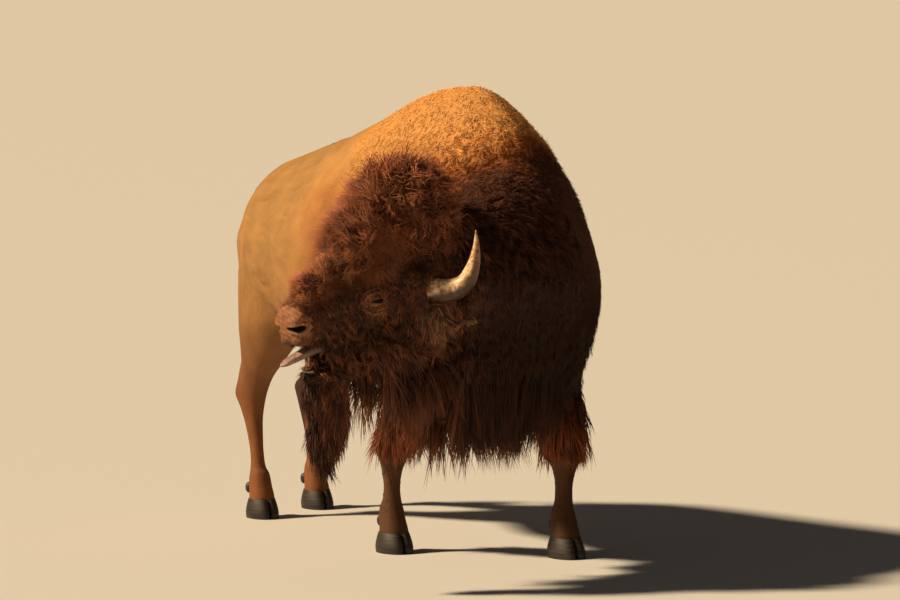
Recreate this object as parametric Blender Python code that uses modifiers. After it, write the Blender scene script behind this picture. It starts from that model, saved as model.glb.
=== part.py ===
"""American bison bull, life size, standing still with its head turned to its right and its mouth open.

Metres, +Z up. The bull faces -Y, so its left side is +X, and its hooves stand on z = 0.
The flesh and coat are modelled as one body from lofted masses, which a voxel remesh joins,
and are then parted with thin cuts into the pieces that a person would name.
Horns, eyes, tongue, hooves and dewclaws are pieces of their own, let into the body.
"""

import math
from functools import partial

import bmesh
import bpy
import numpy as np
from mathutils import Matrix, Vector

# ---------------------------------------------------------------- driving sizes
HUMP_HEIGHT = 1.80  # top of the coat on the hump
GAP = 0.0004  # left between neighbouring solids
VOXEL = 0.013  # grain of the remesh that joins the masses
BODY_TRIANGLES = 3200  # what the joined body is thinned to
SMOOTHING = 8  # rounds that soften the joins between masses

HEAD_EYE_LINE = Vector((-0.907, -0.83, 1.065))  # midpoint between the eyes
HEAD_YAW = 86.0  # degrees that the head is turned to the bull's right
HEAD_DIP = 13.0  # degrees that the muzzle points down
HEAD_ROLL = 0.0  # degrees that the crown leans to the head's own left
JAW_OPEN = 13.0  # degrees that the lower jaw hangs open
JAW_HINGE = (-0.13, -0.06)  # forward and up of the eye line

EYE_RADIUS = 0.021
EYE_SPREAD = 0.122  # eye centre to the head's midplane

FORELEG_X = 0.245  # hoof centre to the midplane
HINDLEG_X = {"left": 0.160, "right": 0.185}
FORELEG_Y = {"left": -0.38, "right": 0.08}
HINDLEG_Y = {"left": 1.45, "right": 1.28}
HOOF_HEIGHT = 0.078
FORE_FOOT = (1.06, 0.063)  # claw size, and how far the dewclaws stand behind the hoof's middle
HIND_FOOT = (0.98, 0.069)
SIDES = {"left": 1.0, "right": -1.0}
WORLD = (Vector((1, 0, 0)), Vector((0, 1, 0)), Vector((0, 0, 1)))
EAR_ROOT = (-0.150, 0.120, -0.100)  # forward, out and up in the head's frame
NAPE_LEAN = 15.0  # degrees that the cut between head and neck leans back


# ---------------------------------------------------------------- curves through named sizes
def through(keys, values, at):
    """Smooth curve through (keys, values), read at the places in at: a cubic with averaged slopes."""
    keys = np.asarray(keys, float)
    values = np.asarray(values, float)
    if values.ndim == 1:
        values = values[:, None]
    slopes = np.gradient(values, keys, axis=0)
    at = np.clip(np.asarray(at, float), keys[0], keys[-1])
    span = np.clip(np.searchsorted(keys, at) - 1, 0, len(keys) - 2)
    width = (keys[span + 1] - keys[span])[:, None]
    t = (at[:, None] - keys[span][:, None]) / width
    a, b = values[span], values[span + 1]
    ta, tb = slopes[span] * width, slopes[span + 1] * width
    return (
        (2 * t**3 - 3 * t**2 + 1) * a
        + (t**3 - 2 * t**2 + t) * ta
        + (3 * t**2 - 2 * t**3) * b
        + (t**3 - t**2) * tb
    )


def rounded_section(side, above, below, power_above=2.0, power_below=2.0, count=32):
    """Closed outline of half-width side, reaching above and below its widest line. Powers set its fullness."""
    turn = np.linspace(0, 2 * math.pi, count, endpoint=False)
    across, rise = np.sin(turn), np.cos(turn)
    power = np.where(rise >= 0, power_above, power_below)
    reach = (np.abs(across) ** power + np.abs(rise) ** power) ** (-1 / power)
    return side * across * reach, np.where(rise >= 0, above, below) * rise * reach


# ---------------------------------------------------------------- mesh makers
def move_to_workshop(made):
    for owner in list(made.users_collection):
        owner.objects.unlink(made)
    WORKSHOP.objects.link(made)


def new_object(name, points, faces):
    mesh = bpy.data.meshes.new(name)
    mesh.from_pydata([tuple(p) for p in points], [], faces)
    work = bmesh.new()
    work.from_mesh(mesh)
    bmesh.ops.recalc_face_normals(work, faces=work.faces)
    bmesh.ops.triangulate(work, faces=work.faces, quad_method="FIXED")
    work.to_mesh(mesh)
    work.free()
    made = bpy.data.objects.new(name, mesh)
    WORKSHOP.objects.link(made)
    return made


def loft(name, rings):
    """Closed solid through rings of equal point count, with a fan to the middle of each end ring."""
    rings = [np.asarray(r, float) for r in rings]
    count = len(rings[0])
    points = np.concatenate([*rings, [rings[0].mean(0)], [rings[-1].mean(0)]])
    last = len(rings) * count
    faces = []
    for row in range(len(rings) - 1):
        for i in range(count):
            j = (i + 1) % count
            a, b = row * count, (row + 1) * count
            faces.append((a + i, a + j, b + j, b + i))
    for i in range(count):
        j = (i + 1) % count
        faces.append((last, j, i))
        faces.append((last + 1, last - count + i, last - count + j))
    return new_object(name, points, faces)


def trunk_mass():
    """Barrel, chest, hump and rump: upright sections along the body, narrow-topped at the hump."""
    #  y      top   widest bottom side  fullness above and below
    sizes = [
        (-0.72, 1.14, 0.98, 0.76, 0.11, 2.0, 2.0),
        (-0.64, 1.33, 1.00, 0.64, 0.24, 1.9, 2.0),
        (-0.51, 1.53, 1.00, 0.580, 0.335, 1.75, 2.0),
        (-0.34, 1.71, 1.00, 0.570, 0.400, 1.65, 2.1),
        (-0.16, HUMP_HEIGHT, 1.00, 0.585, 0.430, 1.62, 2.2),
        (0.00, 1.80, 1.00, 0.605, 0.435, 1.64, 2.2),
        (0.20, 1.765, 1.00, 0.630, 0.425, 1.72, 2.2),
        (0.44, 1.685, 1.00, 0.650, 0.415, 1.82, 2.2),
        (0.68, 1.60, 1.00, 0.67, 0.400, 1.92, 2.2),
        (0.90, 1.545, 1.02, 0.72, 0.370, 2.0, 2.2),
        (1.10, 1.50, 1.05, 0.80, 0.330, 2.1, 2.1),
        (1.28, 1.445, 1.08, 0.87, 0.290, 2.2, 2.0),
        (1.41, 1.36, 1.09, 0.93, 0.220, 2.2, 2.0),
        (1.49, 1.25, 1.10, 1.00, 0.12, 2.0, 2.0),
    ]
    keys = [row[0] for row in sizes]
    stops = np.linspace(keys[0], keys[-1], 46)
    rings = []
    for y, row in zip(stops, through(keys, [row[1:] for row in sizes], stops)):
        top, widest, bottom, side, above, below = row
        x, z = rounded_section(side, top - widest, widest - bottom, above, below, 40)
        rings.append(np.stack([x, np.full_like(x, y), widest + z], 1))
    return loft("trunk_mass", rings)


def swept_mass(name, path, sizes, steps):
    """Mass along a path from upright sections square to it. sizes are side, above, below and fullness."""
    keys = np.linspace(0, 1, len(path))
    at = np.linspace(0, 1, steps)
    centres = through(keys, path, at)
    forms = through(keys, sizes, at)
    heads = np.gradient(centres, at, axis=0)
    rings = []
    for centre, (side, above, below, full), head in zip(centres, forms, heads):
        head = Vector(head).normalized()
        across = head.cross(Vector((0, 0, 1))).normalized()
        upright = across.cross(head)
        x, z = rounded_section(side, above, below, full, full)
        rings.append(
            np.asarray(centre) + x[:, None] * np.array(across) + z[:, None] * np.array(upright)
        )
    return loft(name, rings)


def neck_mass():
    """Short thick neck that bends to the bull's right, deep with mane above and below."""
    path = [(0.0, -0.26, 1.08), (-0.09, -0.52, 1.09), (-0.28, -0.72, 1.10), (-0.58, -0.82, 1.10)]
    #  side  above below fullness
    sizes = [
        (0.34, 0.52, 0.52, 2.0),
        (0.30, 0.44, 0.56, 2.0),
        (0.24, 0.38, 0.57, 2.0),
        (0.17, 0.32, 0.54, 2.0),
    ]
    return swept_mass("neck_mass", path, sizes, 18)


def leg_mass(name, side, foot_y, sizes):
    """Upright leg from level sections: height, place out and ahead, half-width, half-length ahead and behind."""
    heights = np.array([row[0] for row in sizes])
    stops = np.linspace(heights[0], heights[-1], 40)
    rings = []
    for z, row in zip(stops, through(heights, [row[1:] for row in sizes], stops)):
        out, ahead, wide, front, back = row
        x, y = rounded_section(wide, back, front, 2.1, 2.1, 24)
        rings.append(np.stack([side * out + x, foot_y + ahead + y, np.full_like(x, z)], 1))
    return loft(name, rings)


def foreleg_mass(where):
    """Foreleg with the long hair of its upper half, which ends in a hem above the knee."""
    side, foot_y = SIDES[where], FORELEG_Y[where]
    base_y = -0.24 - foot_y  # the leg leaves the body at the same place on both sides
    #  z      out              ahead          wide   front  back
    sizes = [
        (0.070, FORELEG_X, 0.000, 0.050, 0.058, 0.050),
        (0.110, FORELEG_X, 0.008, 0.046, 0.050, 0.052),
        (0.155, FORELEG_X, 0.016, 0.050, 0.052, 0.060),
        (0.210, FORELEG_X, 0.018, 0.043, 0.044, 0.048),
        (0.300, FORELEG_X, 0.018, 0.045, 0.048, 0.050),
        (0.360, FORELEG_X, 0.012, 0.060, 0.066, 0.064),
        (0.400, FORELEG_X, 0.012, 0.086, 0.096, 0.095),
        (0.470, FORELEG_X + 0.002, base_y * 0.2, 0.102, 0.118, 0.125),
        (0.580, FORELEG_X + 0.004, base_y * 0.5, 0.112, 0.135, 0.150),
        (0.700, FORELEG_X + 0.008, base_y * 0.8, 0.124, 0.165, 0.180),
        (0.860, FORELEG_X - 0.005, base_y, 0.150, 0.220, 0.230),
        (1.000, FORELEG_X - 0.040, base_y, 0.130, 0.220, 0.230),
    ]
    return leg_mass("foreleg_mass_" + where, side, foot_y, sizes)


def hindleg_mass(where):
    """Short-haired hind leg: deep thigh, narrow shank, angular hock and slim cannon."""
    side, foot_y = SIDES[where], HINDLEG_Y[where]
    shift = 1.34 - foot_y  # thigh stays under the hip while the hoof stands ahead or behind
    out = HINDLEG_X[where]
    hip = 0.185 - out
    sizes = [
        (0.070, out, 0.000, 0.047, 0.056, 0.048),
        (0.110, out, 0.010, 0.043, 0.047, 0.050),
        (0.155, out, 0.024, 0.047, 0.050, 0.058),
        (0.210, out, 0.034, 0.037, 0.042, 0.046),
        (0.320, out, 0.054, 0.038, 0.046, 0.050),
        (0.420, out, 0.078, 0.046, 0.062, 0.070),
        (0.500, out + 0.002, 0.076 + 0.1 * shift, 0.056, 0.092, 0.106),
        (0.560, out + 0.004, 0.036 + 0.3 * shift, 0.063, 0.112, 0.116),
        (0.660, out + 0.006 + 0.3 * hip, -0.055 + 0.6 * shift, 0.086, 0.160, 0.135),
        (0.780, out + 0.004 + hip, -0.140 + shift, 0.112, 0.235, 0.195),
        (0.920, out - 0.012 + hip, -0.190 + shift, 0.130, 0.290, 0.270),
        (1.080, out - 0.034 + hip, -0.180 + shift, 0.135, 0.270, 0.280),
        (1.240, out - 0.080 + hip, -0.170 + shift, 0.100, 0.180, 0.220),
    ]
    return leg_mass("hindleg_mass_" + where, side, foot_y, sizes)


# ---------------------------------------------------------------- head frame: forward, left, up
def head_axes():
    yaw, dip, roll = (math.radians(v) for v in (HEAD_YAW, HEAD_DIP, HEAD_ROLL))
    forward = Vector((-math.sin(yaw) * math.cos(dip), -math.cos(yaw) * math.cos(dip), -math.sin(dip)))
    left = Vector((math.cos(yaw), -math.sin(yaw), 0.0))
    left = Matrix.Rotation(roll, 3, forward) @ left
    return forward, left, forward.cross(left)


HEAD_FORWARD, HEAD_LEFT, HEAD_UP = head_axes()


def in_head(forward, left, up):
    """World place of a point given forward, left and up of the midpoint between the eyes."""
    return HEAD_EYE_LINE + forward * HEAD_FORWARD + left * HEAD_LEFT + up * HEAD_UP


def head_matrix():
    """Head frame with its X forward, Y left and Z up."""
    turn = Matrix((HEAD_FORWARD, HEAD_LEFT, HEAD_UP)).transposed()
    return Matrix.Translation(HEAD_EYE_LINE) @ turn.to_4x4()


def head_loft(name, sizes, steps, hang=None):
    """Mass along the head: rows of forward, top, widest height, bottom, half-width and fullness."""
    keys = [row[0] for row in sizes]
    stops = np.linspace(keys[0], keys[-1], steps)
    rings = []
    for forward, row in zip(stops, through(keys, [row[1:] for row in sizes], stops)):
        top, widest, bottom, side, full = row
        x, z = rounded_section(side, top - widest, widest - bottom, full, full)
        ring = np.stack([np.full_like(x, forward), x, widest + z], 1)
        rings.append(ring if hang is None else hang(ring))
    made = loft(name, rings)
    made.data.transform(head_matrix())
    return made


def skull_mass():
    """Cranium, face and upper jaw down to the lip line."""
    sizes = [
        (-0.34, 0.03, -0.06, -0.17, 0.120, 2.0),
        (-0.28, 0.09, -0.06, -0.22, 0.165, 2.1),
        (-0.18, 0.130, -0.05, -0.25, 0.172, 2.2),
        (-0.08, 0.140, -0.03, -0.24, 0.155, 2.3),
        (0.00, 0.130, -0.01, -0.20, 0.135, 2.3),
        (0.08, 0.105, -0.02, -0.155, 0.112, 2.3),
        (0.17, 0.080, -0.02, -0.125, 0.092, 2.4),
        (0.235, 0.062, -0.025, -0.110, 0.080, 2.4),
        (0.275, 0.052, -0.030, -0.106, 0.077, 2.4),
        (0.308, 0.038, -0.032, -0.099, 0.072, 2.4),
        (0.322, 0.012, -0.036, -0.086, 0.058, 2.4),
    ]
    return head_loft("skull_mass", sizes, 34)


def lower_jaw_mass():
    """Lower jaw from its hinge to the lip, hung open."""
    hinge_forward, hinge_up = JAW_HINGE
    cosine, sine = math.cos(math.radians(JAW_OPEN)), math.sin(math.radians(JAW_OPEN))

    def hang(ring):
        forward, up = ring[:, 0] - hinge_forward, ring[:, 2] - hinge_up
        turned = np.array(ring)
        turned[:, 0] = hinge_forward + forward * cosine + up * sine
        turned[:, 2] = hinge_up - forward * sine + up * cosine
        return turned

    sizes = [
        (-0.22, -0.06, -0.15, -0.26, 0.110, 2.0),
        (-0.12, -0.06, -0.17, -0.29, 0.125, 2.1),
        (0.00, -0.09, -0.17, -0.26, 0.105, 2.1),
        (0.09, -0.120, -0.165, -0.215, 0.080, 2.2),
        (0.18, -0.118, -0.150, -0.188, 0.062, 2.2),
        (0.245, -0.106, -0.138, -0.175, 0.056, 2.3),
        (0.290, -0.100, -0.126, -0.160, 0.045, 2.2),
        (0.308, -0.108, -0.122, -0.140, 0.028, 2.0),
    ]
    return head_loft("lower_jaw_mass", sizes, 26, hang)


def ball_mass(name, centre, radii, matrix=None):
    """Rounded mass about centre, placed by matrix (the world's if none)."""
    bpy.ops.mesh.primitive_uv_sphere_add(segments=32, ring_count=20, radius=1.0)
    made = bpy.context.object
    made.name = name
    made.data.transform(Matrix.Translation(centre) @ Matrix.Diagonal((*radii, 1.0)))
    if matrix is not None:
        made.data.transform(matrix)
    move_to_workshop(made)
    return made


def bonnet_masses():
    """Tall woolly hair on the crown, forehead and bridge of the nose."""
    frame = head_matrix()
    return [
        ball_mass("bonnet_crown", (-0.250, 0.0, 0.225), (0.250, 0.215, 0.255), frame),
        ball_mass("bonnet_brow", (-0.050, 0.0, 0.175), (0.185, 0.180, 0.185), frame),
        ball_mass("bonnet_bridge", (0.135, 0.0, 0.080), (0.130, 0.110, 0.090), frame),
    ]


def brow_masses():
    """Ridge of bone and folded skin over each eye, and the rim under it."""
    frame = head_matrix()
    made = []
    for where, side in SIDES.items():
        brow, rim = (-0.005, side * 0.108, 0.043), (0.000, side * 0.104, -0.045)
        made.append(ball_mass("brow_" + where, brow, (0.060, 0.036, 0.027), frame))
        made.append(ball_mass("cheekbone_" + where, rim, (0.060, 0.032, 0.024), frame))
    return made


def cheek_masses():
    """Shaggy hair that hides the cheeks and fills the angle behind the jaw."""
    frame = head_matrix()
    made = []
    for where, side in SIDES.items():
        cheek, temple = (-0.08, side * 0.100, -0.200), (-0.19, side * 0.120, 0.020)
        made.append(ball_mass("cheek_hair_" + where, cheek, (0.210, 0.090, 0.165), frame))
        made.append(ball_mass("temple_hair_" + where, temple, (0.150, 0.085, 0.160), frame))
    return made


def belly_tuft_mass():
    """Tuft of hair under the belly."""
    return ball_mass("belly_tuft_mass", (0.0, 0.66, 0.665), (0.035, 0.085, 0.075))


def beard_mass():
    """Beard that hangs from chin and throat, blunt and swept back."""
    course = [(0.17, -0.22), (0.20, -0.34), (0.24, -0.45), (0.285, -0.56)]
    path = [in_head(forward, 0.0, up) for forward, up in course]
    keys = np.linspace(0, 1, 4)
    at = np.linspace(0, 1, 16)
    centres = through(keys, [tuple(p) for p in path], at)
    forms = through(keys, [(0.070, 0.125), (0.080, 0.120), (0.065, 0.090), (0.018, 0.026)], at)
    ahead = Vector((HEAD_FORWARD.x, HEAD_FORWARD.y, 0.0)).normalized()
    rings = []
    for centre, (wide, long) in zip(centres, forms):
        x, y = rounded_section(wide, long, long, 2.0, 2.0, 24)
        rings.append(centre + x[:, None] * np.array(HEAD_LEFT) + y[:, None] * np.array(ahead))
    return loft("beard_mass", rings)


def ear_direction(where):
    """Way an ear points: back and out from the head, and a little down."""
    return (-0.64 * HEAD_FORWARD + 0.75 * SIDES[where] * HEAD_LEFT - 0.15 * HEAD_UP).normalized()


def ear_mass(where):
    """Hanging-fringed ear, level and pointing back under the horn."""
    side = SIDES[where]
    forward, out, up = EAR_ROOT
    root = np.array(in_head(forward, side * out, up))
    back = np.array(ear_direction(where))
    thin = np.array(Vector(back).cross(Vector((0, 0, 1))).normalized())
    tall = np.cross(thin, back)
    keys = [0.0, 0.05, 0.12, 0.19, 0.250]
    above_below_thick = [
        (0.024, 0.035, 0.020),
        (0.030, 0.060, 0.022),
        (0.030, 0.078, 0.021),
        (0.022, 0.062, 0.017),
        (0.006, 0.014, 0.006),
    ]
    at = np.linspace(keys[0], keys[-1], 14)
    rings = []
    for reach, (above, below, thick) in zip(at, through(keys, above_below_thick, at)):
        across, rise = rounded_section(thick, above, below, 2.0, 2.0, 20)
        rings.append(root + reach * back + across[:, None] * thin + rise[:, None] * tall)
    return loft("ear_mass_" + where, rings)


def rope(name, path, sizes, across, steps=18, count=16, grow=0.0):
    """Solid down a path with sections square to it. sizes are half-width along across, and half-depth."""
    keys = np.linspace(0, 1, len(path))
    at = np.linspace(0, 1, steps)
    centres = through(keys, [tuple(p) for p in path], at)
    forms = through(keys, sizes, at) + grow
    heads = np.gradient(centres, at, axis=0)
    heads /= np.linalg.norm(heads, axis=1)[:, None]
    centres[0] -= grow * heads[0]
    centres[-1] += grow * heads[-1]
    rings = []
    for centre, (wide, deep), head in zip(centres, forms, heads):
        head = Vector(head)
        front = head.cross(Vector(across)).normalized()
        beside = front.cross(head)
        x, y = rounded_section(wide, deep, deep, 2.0, 2.0, count)
        rings.append(centre + x[:, None] * np.array(beside) + y[:, None] * np.array(front))
    return loft(name, rings)


def tail_mass():
    """Dock that hangs from the rump, and the tassel of long hair at its end."""
    path = [(0.0, 1.40, 1.25), (0.0, 1.51, 1.22), (0.01, 1.56, 1.08), (0.012, 1.565, 0.95)]
    sizes = [(0.050, 0.050), (0.038, 0.038), (0.030, 0.030), (0.028, 0.028)]
    dock = rope("dock_mass", path, sizes, (1, 0, 0))
    path = [(0.012, 1.565, 1.00), (0.013, 1.567, 0.89), (0.015, 1.562, 0.78), (0.018, 1.548, 0.66)]
    sizes = [(0.026, 0.026), (0.050, 0.048), (0.044, 0.042), (0.010, 0.010)]
    return [dock, rope("tassel_mass", path, sizes, (1, 0, 0))]


# ---------------------------------------------------------------- hard pieces and tongue
def horn(where, grow=0.0):
    """Horn that leaves the head sideways, sweeps out and back, and turns up to its point."""
    side = SIDES[where]
    #  forward   left    up    radius
    course = [
        (-0.170, 0.110, 0.006, 0.044),
        (-0.200, 0.168, -0.004, 0.042),
        (-0.238, 0.222, -0.018, 0.039),
        (-0.280, 0.272, -0.002, 0.034),
        (-0.312, 0.300, 0.052, 0.026),
        (-0.332, 0.314, 0.115, 0.015),
        (-0.346, 0.316, 0.175, 0.003),
    ]
    path = [in_head(forward, side * left, up) for forward, left, up, _ in course]
    sizes = [(radius, radius) for *_, radius in course]
    return rope("horn_" + where, path, sizes, HEAD_FORWARD, 14, 10, grow)


def eye(where, grow=0.0):
    """Eyeball."""
    centre = in_head(0.0, SIDES[where] * EYE_SPREAD, 0.0)
    return ball("eye_" + where, centre, (EYE_RADIUS + grow,) * 3, 12)


def tongue(grow=0.0):
    """Tongue lying on the lower jaw and held out past the lip."""
    course = [(0.11, -0.155), (0.20, -0.164), (0.29, -0.160), (0.378, -0.160)]
    path = [in_head(forward, 0.0, up) for forward, up in course]
    sizes = [(0.030, 0.016), (0.030, 0.016), (0.027, 0.014), (0.007, 0.004)]
    return rope("tongue", path, sizes, HEAD_LEFT, 10, 10, grow)


def ball(name, centre, radii, segments):
    bpy.ops.mesh.primitive_uv_sphere_add(segments=segments, ring_count=segments * 5 // 8, radius=1.0)
    made = bpy.context.object
    made.name = name
    made.data.transform(Matrix.Translation(centre) @ Matrix.Diagonal((*radii, 1.0)))
    move_to_workshop(made)
    return made


def hoof_claw(name, foot_x, foot_y, side, size):
    """One claw of a cloven hoof: flat sole, sloping toe, upright cleft face. side says which half it is."""
    cleft = 0.003
    #  height, toe reach, heel reach, breadth
    sizes = [
        (0.000, 0.082, 0.060, 0.060),
        (0.022, 0.080, 0.062, 0.062),
        (0.050, 0.070, 0.060, 0.058),
        (HOOF_HEIGHT, 0.056, 0.054, 0.051),
    ]
    rings = []
    for height, toe, heel, breadth in sizes:
        x, y = rounded_section(breadth * 0.62, heel, toe, 2.3, 2.3, 14)
        x = np.clip(breadth * 0.40 + x, cleft, None)
        inward = 1.0 - 0.25 * np.clip(-y / toe, 0, 1) ** 2  # toes turn towards each other
        rings.append(
            np.stack(
                [foot_x + side * x * inward * size, foot_y + y * size, np.full_like(x, height)], 1
            )
        )
    return loft(name, rings)


def dewclaw(name, foot_x, foot_y, side, fetlock, grow=0.0):
    """Small horn stud behind the fetlock."""
    centre = (foot_x + side * 0.024, foot_y + fetlock, 0.118)
    return ball(name, centre, (0.015 + grow, 0.019 + grow, 0.022 + grow), 8)


# ---------------------------------------------------------------- joining and carving
def hard_copy(made, name):
    """Evaluated mesh of an object, modifiers applied, as a plain new object."""
    graph = bpy.context.evaluated_depsgraph_get()
    mesh = bpy.data.meshes.new_from_object(made.evaluated_get(graph))
    mesh.name = name
    copy = bpy.data.objects.new(name, mesh)
    WORKSHOP.objects.link(copy)
    return copy


def join_masses(name, masses, triangles, smoothing):
    """One closed surface round overlapping masses: voxel remesh, smoothing, then thinning."""
    meshes = bmesh.new()
    for mass in masses:
        meshes.from_mesh(mass.data)
    mesh = bpy.data.meshes.new(name)
    meshes.to_mesh(mesh)
    meshes.free()
    joined = bpy.data.objects.new(name, mesh)
    WORKSHOP.objects.link(joined)
    for mass in masses:
        bpy.data.objects.remove(mass)
    remesh = joined.modifiers.new("join", "REMESH")
    remesh.mode = "VOXEL"
    remesh.voxel_size = VOXEL
    soften = joined.modifiers.new("soften", "SMOOTH")
    soften.factor, soften.iterations = 0.5, smoothing
    whole = hard_copy(joined, name + "_whole")
    bpy.data.objects.remove(joined)
    keep_detail(whole)
    thin = whole.modifiers.new("thin", "DECIMATE")
    thin.ratio = triangles / sum(len(p.vertices) - 2 for p in whole.data.polygons)
    thin.vertex_group = "detail"
    thin.vertex_group_factor = 0.6
    thin.invert_vertex_group = True
    thinned = hard_copy(whole, name)
    bpy.data.objects.remove(whole)
    return thinned


def keep_detail(whole):
    """Weights that keep more triangles on the face and feet than on the barrel."""
    group = whole.vertex_groups.new(name="detail")
    middle = in_head(0.18, 0.0, -0.08)
    for vertex in whole.data.vertices:
        face = 0.5 * math.exp(-(((vertex.co - middle).length / 0.28) ** 2))
        foot = 0.4 * math.exp(-((vertex.co.z / 0.45) ** 2))
        group.add([vertex.index], max(face, foot), "REPLACE")


def boolean(target, tool, operation):
    """Applies a Boolean to target's mesh."""
    cut = target.modifiers.new("cut", "BOOLEAN")
    cut.operation = operation
    cut.object = tool
    cut.solver = "EXACT"
    result = hard_copy(target, target.name + "_next")
    old = target.data
    target.modifiers.clear()
    target.data = result.data
    bpy.data.objects.remove(result)
    bpy.data.meshes.remove(old)
    return target


def slab(name, centre, axes, half):
    """Box about centre whose half sizes run along three axes of either hand, square to each other or not."""
    bpy.ops.mesh.primitive_cube_add(size=2.0)
    made = bpy.context.object
    made.name = name
    turn = Matrix([tuple(axis) for axis in axes]).transposed().to_4x4()
    made.data.transform(Matrix.Translation(centre) @ turn @ Matrix.Diagonal((*half, 1.0)))
    if turn.determinant() < 0:
        made.data.flip_normals()
    move_to_workshop(made)
    return made


def part_off(body, name, centre, axes, half):
    """Cuts the piece inside a box from body and returns it, leaving a thin gap all round the box."""
    inner = slab("inner", centre, axes, half)
    outer = slab("outer", centre, axes, [h + GAP for h in half])
    piece = hard_copy(body, name)
    boolean(piece, inner, "INTERSECT")
    boolean(body, outer, "DIFFERENCE")
    bpy.data.objects.remove(inner)
    bpy.data.objects.remove(outer)
    return piece


def let_in(body, tool_maker):
    """Carves room in body for a hard piece, made once a gap bigger for the carving."""
    grown = tool_maker(1.5 * GAP)
    boolean(body, grown, "DIFFERENCE")
    bpy.data.objects.remove(grown)


def leaning(angle):
    """Head axes turned by angle about the head's left axis: forward, left, up."""
    turn = Matrix.Rotation(math.radians(angle), 3, HEAD_LEFT)
    return turn @ HEAD_FORWARD, HEAD_LEFT, turn @ HEAD_UP


def box_from(middle, axes, reach, half):
    """Box whose near face has middle at its centre. It runs twice reach along its first axis, and half each
    way along the others. Returns centre, axes and half sizes."""
    return middle + axes[0] * reach, axes, (reach, *half)


def part_head(body):
    """Ears, head, bonnet, beard and lower jaw, each parted by one thin flat cut or more."""
    pieces = {}
    for where, side in SIDES.items():
        outward = ear_direction(where)
        across = outward.cross(WORLD[2]).normalized()
        forward, out, up = EAR_ROOT
        root = in_head(forward, side * out, up)
        name = "ear_" + where
        axes = (outward, across, across.cross(outward))
        box = box_from(root + outward * 0.085, axes, 0.15, (0.045, 0.085))
        pieces[name] = part_off(body, name, *box)
    box = box_from(in_head(-0.375, 0.0, 0.0), leaning(-NAPE_LEAN), 0.52, (0.60, 0.90))
    pieces["head"] = head = part_off(body, "head", *box)
    level = Vector((HEAD_FORWARD.x, HEAD_FORWARD.y, 0.0)).normalized()
    box = box_from(in_head(0.18, 0.0, -0.325), (-WORLD[2], level, HEAD_LEFT), 0.30, (0.30, 0.30))
    pieces["beard"] = part_off(head, "beard", *box)
    ahead, aside, upright = leaning(12.0)
    box = box_from(in_head(0.0, 0.0, 0.085), (upright, ahead, aside), 0.40, (0.90, 0.40))
    pieces["bonnet"] = part_off(head, "bonnet", *box)
    ahead, aside, upright = leaning(JAW_OPEN * 0.6)
    corner = in_head(0.055, 0.0, -0.145) - upright * 0.15
    box = box_from(corner, (ahead, aside, upright), 0.25, (0.086, 0.15))
    pieces["lower_jaw"] = part_off(head, "lower_jaw", *box)
    return pieces


def part_limb(body, pair, where, foot_y, top, reach, split):
    """Upper and lower length of one leg: an upright box with a sloping roof frees it from the trunk, and a
    level cut parts it in two."""
    side = SIDES[where]
    outward = Vector((side * 0.40, 0.0, 0.16)).normalized()
    middle_y, half_y = reach
    inner_face = Vector((side * 0.015, middle_y, top - 0.5))
    roofed = box_from(inner_face, (outward, WORLD[1], WORLD[2]), 0.30, (half_y, 0.5))
    upper = part_off(body, pair + "leg_" + where, *roofed)
    below = box_from(Vector((0.0, foot_y, split)), (-WORLD[2], WORLD[0], WORLD[1]), 0.5, (1.0, 0.6))
    lower = part_off(upper, pair + "_cannon_" + where, *below)
    return {pair + "leg_" + where: upper, pair + "_cannon_" + where: lower}


def part_out(body):
    """Parts the joined body into its named pieces and returns them by name."""
    right, back, up = WORLD
    pieces = part_head(body)
    nape = Vector((-0.40, -1.0, 0.0)).normalized()
    sides = (nape, nape.cross(up), up)
    pieces["neck"] = part_off(body, "neck", *box_from(Vector((-0.06, -0.60, 1.0)), sides, 0.6, (1.2, 0.9)))
    tail = part_off(body, "tail", *box_from(Vector((0.0, 1.49, 1.02)), (back, right, up), 0.2, (0.1, 0.4)))
    tassel = box_from(Vector((0.0, 1.6, 0.97)), (-up, right, back), 0.4, (0.3, 0.3))
    pieces["tail"] = tail
    pieces["tail_tassel"] = part_off(tail, "tail_tassel", *tassel)
    for where in SIDES:
        fore_y, shoulder_y = FORELEG_Y[where], -0.26
        reach = (0.5 * (fore_y + shoulder_y), 0.30 + 0.5 * abs(fore_y - shoulder_y))
        pieces.update(part_limb(body, "fore", where, fore_y, 0.66, reach, 0.37))
        pieces.update(part_limb(body, "hind", where, HINDLEG_Y[where], 0.76, (1.24, 0.48), 0.47))
    hump = box_from(Vector((0.0, -0.05, 1.43)), (up, right, back), 0.3, (0.8, 0.6))
    pieces["hump"] = part_off(body, "hump", *hump)
    chest = box_from(Vector((0.0, 0.16, 1.0)), (-back, right, up), 0.6, (0.8, 0.8))
    pieces["chest"] = part_off(body, "chest", *chest)
    croup = box_from(Vector((0.0, 0.92, 1.0)), (back, right, up), 0.6, (0.8, 0.8))
    pieces["hindquarters"] = part_off(body, "hindquarters", *croup)
    pieces["barrel"] = body
    return pieces


# ---------------------------------------------------------------- finishes
#  finish         base colour              roughness
FINISHES = {
    "dark_wool": ((0.075, 0.038, 0.024), 0.95),
    "summer_coat": ((0.36, 0.19, 0.085), 0.90),
    "hump_wool": ((0.33, 0.15, 0.055), 0.95),
    "horn": ((0.42, 0.34, 0.25), 0.45),
    "hoof": ((0.06, 0.05, 0.045), 0.50),
    "eye": ((0.02, 0.012, 0.008), 0.08),
    "tongue": ((0.46, 0.31, 0.29), 0.50),
}
SHORT_HAIRED = ("barrel", "hindquarters", "tail", "hindleg", "hind_cannon", "fore_cannon")


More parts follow.
